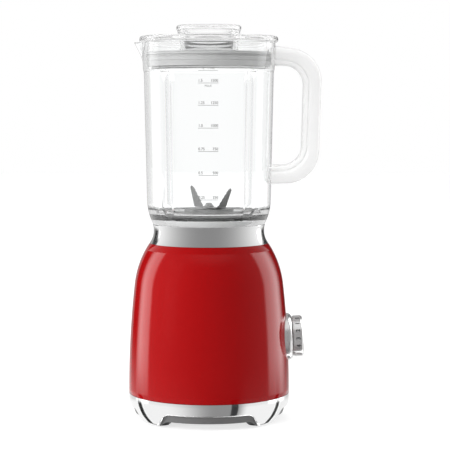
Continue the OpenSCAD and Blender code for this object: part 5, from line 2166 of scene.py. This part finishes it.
@dataclass
class Studio:
    """The camera, the lamps, the floor and the surroundings."""

    cards: tuple[Card, ...] = field(
        default=(
            Card((-200, 200), (76, 110), 1.0, soft_up=(24, 4)),
            Card((-70, 70), (42, 92), 0.95, (30, 30), (16, 10)),
            Card((-200, 200), (-110, -50), 0.12, soft_up=(4, 16)),
            Card((-125, -40), (-95, 84), 0.62, (20, 70), (16, 16)),
            Card((58, 125), (-95, 84), 0.62, (52, 20), (16, 16)),
            Card((-124, -97), (-95, 62), 4.6, (16, 5)),
            Card((95, 134), (-95, 62), 4.3, (7, 20)),
            Card((-151, -130), (-100, 84), 0.03, (3, 6)),
            Card((144, 166), (-100, 84), 0.03, (6, 6)),
            Card((-200, -151), (-100, 100), 0.42),
            Card((166, 200), (-100, 100), 0.40),
            Card((-112, -28), (-52, -9), 1.05, (3, 80), (4, 8)),
            Card((50, 112), (-52, -9), 1.05, (20, 3), (4, 8)),
            Card((-124, -112), (-52, -9), 0.02, soft_up=(4, 8)),
            Card((112, 123), (-52, -9), 0.05, soft_up=(4, 8)),
            Card((-200, -124), (-52, -9), 1.1, soft_up=(4, 8)),
            Card((123, 200), (-52, -9), 1.0, soft_up=(4, 8)),
        )
    )

    def camera(self) -> None:
        """A long lens in front of the object, looking a little down."""
        data = bpy.data.cameras.new("camera")
        data.lens = 130.0
        data.sensor_width = 36.0
        camera = bpy.data.objects.new("camera", data)
        camera.location = (0.01625, -1.64207, 0.31714)
        camera.rotation_euler = (math.radians(90 - 4.215), 0, 0)
        bpy.context.scene.collection.objects.link(camera)
        bpy.context.scene.camera = camera

    def lamp(
        self, name: str, place: Sequence[float], target: Sequence[float], size: Point, power: float
    ) -> None:
        """A soft rectangular lamp that neither shiny surfaces nor clear walls show.

        Args:
            name: the lamp's name.
            place: where it is, in metres.
            target: what it points at.
            size: its width and height, in metres.
            power: its power, in watts.
        """
        data = bpy.data.lights.new(name, "AREA")
        data.shape = "RECTANGLE"
        data.size, data.size_y = size
        data.energy = power
        holder = bpy.data.objects.new(name, data)
        holder.location = place
        holder.rotation_euler = (Vector(target) - Vector(place)).to_track_quat("-Z", "Y").to_euler()
        holder.visible_glossy = False
        holder.visible_transmission = False
        bpy.context.scene.collection.objects.link(holder)

    def lamps(self) -> None:
        """A key lamp on the left, a weaker one on the right and a broad one overhead."""
        middle = (0, 0, 0.2)
        self.lamp("key_lamp", (-1.35, -0.75, 0.6), middle, (0.7, 1.2), 26.0)
        self.lamp("right_lamp", (1.5, 0.1, 0.6), middle, (0.5, 1.2), 6.0)
        self.lamp("top_lamp", (0, 0.2, 1.8), middle, (1.2, 1.2), 10.0)

    def floor(self) -> None:
        """A broad pale floor that keeps the object's soft shadow."""
        half = 6000.0
        mesh = mesh_object(
            "floor", [(-half, -half, 0), (half, -half, 0), (half, half, 0), (-half, half, 0)], [(0, 1, 2, 3)]
        )
        material = bpy.data.materials.new("pale_floor")
        material.use_nodes = True
        net = Tree(material.node_tree)
        nodes, links = material.node_tree.nodes, material.node_tree.links
        shader = nodes["Principled BSDF"]
        shader.inputs["Base Color"].default_value = (0.93, 0.93, 0.93, 1)
        shader.inputs["Roughness"].default_value = 0.9
        shader.inputs["Specular IOR Level"].default_value = 0.1
        glow = net.add("ShaderNodeEmission", {"Strength": 1.45})
        path = net.add("ShaderNodeLightPath")
        seen = net.math("MAXIMUM", path.outputs["Is Camera Ray"], path.outputs["Is Transmission Ray"])
        share = net.math("MULTIPLY", seen, 0.5)
        mixed = net.add("ShaderNodeMixShader", {0: share, 1: shader.outputs[0], 2: glow.outputs[0]})
        links.new(mixed.outputs[0], nodes["Material Output"].inputs["Surface"])
        mesh.data.materials.append(material)
        mesh.visible_glossy = False
        mesh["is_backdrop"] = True

    def dark_card(self, workshop: Workshop) -> None:
        """A narrow black card at the user's right, under the floor's level, that the skirt alone reflects: a
        painted dark reflection in its chrome.

        Args:
            workshop: the workshop.
        """
        turn = math.radians(37.5)
        middle = Vector((178.0, -273.0, 0.0))
        side = Vector((math.cos(turn), math.sin(turn), 0.0)) * 26.0
        points = [middle - side, middle + side, middle + side, middle - side]
        heights = (-14.0, -14.0, -480.0, -480.0)
        # Painted reflection: nothing but the skirt's chrome sees this card, as a dark bar.
        card = mesh_object("dark_card", [(p.x, p.y, z) for p, z in zip(points, heights)], [(0, 1, 2, 3)])
        card.data.materials.append(workshop.material(BLACK_PLASTIC))
        card.visible_camera = False
        card.visible_diffuse = False
        card.visible_transmission = False
        card.visible_shadow = False
        card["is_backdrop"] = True

    def neck_card(self) -> None:
        """A glowing card bent round the neck's front, seen only in its polish: a painted reflection that
        grows brighter towards its ends.
        """
        foot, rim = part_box("neck")
        radius, reach = rim.x / MM + 4.0, math.radians(72.0)
        low, high = foot.z / MM + 4.5, rim.z / MM + 8.0
        steps = 48
        points, faces = [], []
        for i in range(steps + 1):
            turn = reach * (2 * i / steps - 1)
            x, y = radius * math.sin(turn), -radius * math.cos(turn)
            points += [(x, y, low), (x, y, high)]
            if i:
                faces.append((2 * i - 2, 2 * i, 2 * i + 1, 2 * i - 1))
        card = mesh_object("neck_card", points, faces)
        material = bpy.data.materials.new("neck_reflection_glow")
        material.use_nodes = True
        net = Tree(material.node_tree)
        nodes, links = material.node_tree.nodes, material.node_tree.links
        place = net.add("ShaderNodeSeparateXYZ", {0: net.add("ShaderNodeTexCoord").outputs["Object"]})
        # Painted reflection: the glow is 0.30 in the middle and rises towards the card's ends.
        side = net.math("DIVIDE", net.math("ABSOLUTE", place.outputs["X"]), radius * MM * 0.93)
        level = net.math("ADD", 0.30, net.math("MULTIPLY", 0.77, net.math("POWER", side, 2.5)))
        glow = net.add("ShaderNodeEmission", {"Strength": level})
        links.new(glow.outputs[0], nodes["Material Output"].inputs["Surface"])
        card.data.materials.append(material)
        card.visible_camera = False
        card.visible_diffuse = False
        card.visible_transmission = False
        card.visible_shadow = False
        card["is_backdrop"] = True

    def surroundings(self) -> None:
        """White to the camera and through clear walls, soft cards in reflections, an even light elsewhere."""
        world = bpy.data.worlds.new("studio")
        bpy.context.scene.world = world
        world.use_nodes = True
        net = Tree(world.node_tree)
        nodes, links = world.node_tree.nodes, world.node_tree.links
        nodes.clear()
        direction = net.add("ShaderNodeTexCoord").outputs["Generated"]
        parts = net.add("ShaderNodeSeparateXYZ", {0: direction})
        across = net.math("ARCTAN2", parts.outputs["X"], net.math("MULTIPLY", parts.outputs["Y"], -1.0))
        azimuth = net.math("DEGREES", across)
        elevation = net.math("DEGREES", net.math("ARCSINE", parts.outputs["Z"]))
        level: object = 0.31
        for card in self.cards:
            mask = net.math(
                "MULTIPLY",
                self.window(net, azimuth, card.azimuths, card.soft),
                self.window(net, elevation, card.elevations, card.soft_up),
            )
            gap = net.math("SUBTRACT", card.level, level)
            level = net.math("ADD", level, net.math("MULTIPLY", gap, mask))
        path = net.add("ShaderNodeLightPath")
        open_view = net.math("MAXIMUM", path.outputs["Is Camera Ray"], path.outputs["Is Transmission Ray"])
        within = net.math("GREATER_THAN", path.outputs["Transmission Depth"], 0.5)
        even = net.add("ShaderNodeBackground", {"Strength": 0.58})
        shown = net.add("ShaderNodeBackground", {"Strength": level})
        inner = net.add("ShaderNodeBackground", {"Strength": 0.80})
        steep = net.math("ABSOLUTE", parts.outputs["Z"])
        behind = net.add(
            "ShaderNodeMapRange",
            {"Value": steep, "From Min": 0.25, "From Max": 0.8, "To Min": 1.02, "To Max": 0.72}
        ).outputs[0]
        passed = net.math("SUBTRACT", 1.0, path.outputs["Is Camera Ray"])
        fill = net.math("ADD", 1.0, net.math("MULTIPLY", passed, net.math("SUBTRACT", behind, 1.0)))
        white = net.add("ShaderNodeBackground", {"Strength": fill})
        for background in (even, shown, inner, white):
            background.inputs["Color"].default_value = (1, 1, 1, 1)
        first = net.add(
            "ShaderNodeMixShader", {0: path.outputs["Is Glossy Ray"], 1: even.outputs[0], 2: shown.outputs[0]}
        )
        through = net.add("ShaderNodeMixShader", {0: within, 1: first.outputs[0], 2: inner.outputs[0]})
        second = net.add("ShaderNodeMixShader", {0: open_view, 1: through.outputs[0], 2: white.outputs[0]})
        sink = net.add("ShaderNodeOutputWorld")
        links.new(second.outputs[0], sink.inputs["Surface"])

    @staticmethod
    def window(net: Tree, value: bpy.types.NodeSocket, span: Point, soft: Point) -> bpy.types.NodeSocket:
        """1 inside a span and 0 outside it, with soft ends.

        Args:
            net: the tree.
            value: what is tested.
            span: the two ends.
            soft: the ends' widths.

        Returns:
            The mask.
        """
        up = net.add(
            "ShaderNodeMapRange",
            {"Value": value, "From Min": span[0] - soft[0] / 2, "From Max": span[0] + soft[0] / 2},
            interpolation_type="SMOOTHSTEP",
        )
        down = net.add(
            "ShaderNodeMapRange",
            {
                "Value": value, "From Min": span[1] - soft[1] / 2, "From Max": span[1] + soft[1] / 2,
                "To Min": 1.0, "To Max": 0.0,
            },
            interpolation_type="SMOOTHSTEP",
        )
        return net.math("MULTIPLY", up.outputs[0], down.outputs[0])


def dress_nodes(nodes: dict[str, bpy.types.Object], shop: Workshop) -> None:
    """Gives every carried-over CAD node its finish and smooth shading.

    Args:
        nodes: the CAD nodes' objects by name.
        shop: the workshop.
    """
    for name, finish in CAD_FINISHES.items():
        mesh = nodes[name].data
        mesh.materials.clear()
        mesh.materials.append(shop.material(finish))
        mesh.shade_smooth()
        mesh.set_sharp_from_angle(angle=math.radians(28))
        log.info("%s is dressed in %s", name, finish.name)


def corners(pair: tuple[Vector, Vector]) -> list[list[float]]:
    """A box's two corners as plain lists."""
    return [list(pair[0]), list(pair[1])]


def main() -> None:
    """Builds the scene in order."""
    logging.basicConfig(level=logging.INFO, format="%(message)s")
    for obj in list(bpy.data.objects):
        bpy.data.objects.remove(obj)
    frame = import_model()
    cad_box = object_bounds()
    turn = next(joint for joint in frame["joints"] if joint["name"] == "knob_turn")
    bpy.context.scene.view_settings.view_transform = "Standard"
    studio = Studio()
    studio.camera()
    shop = Workshop()
    dress_nodes(frame["nodes"], shop)
    base = MotorBase(shop)
    base.build()
    Control(shop, base, turn["pos_m"][2]).build()
    Jug(shop).build()
    BladeSet(shop).build()
    Lid(shop).build()
    studio.lamps()
    studio.floor()
    studio.dark_card(shop)
    studio.neck_card()
    studio.surroundings()
    {"cad": corners(cad_box), "visual": corners(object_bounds())}


if __name__ == "__main__":
    main()
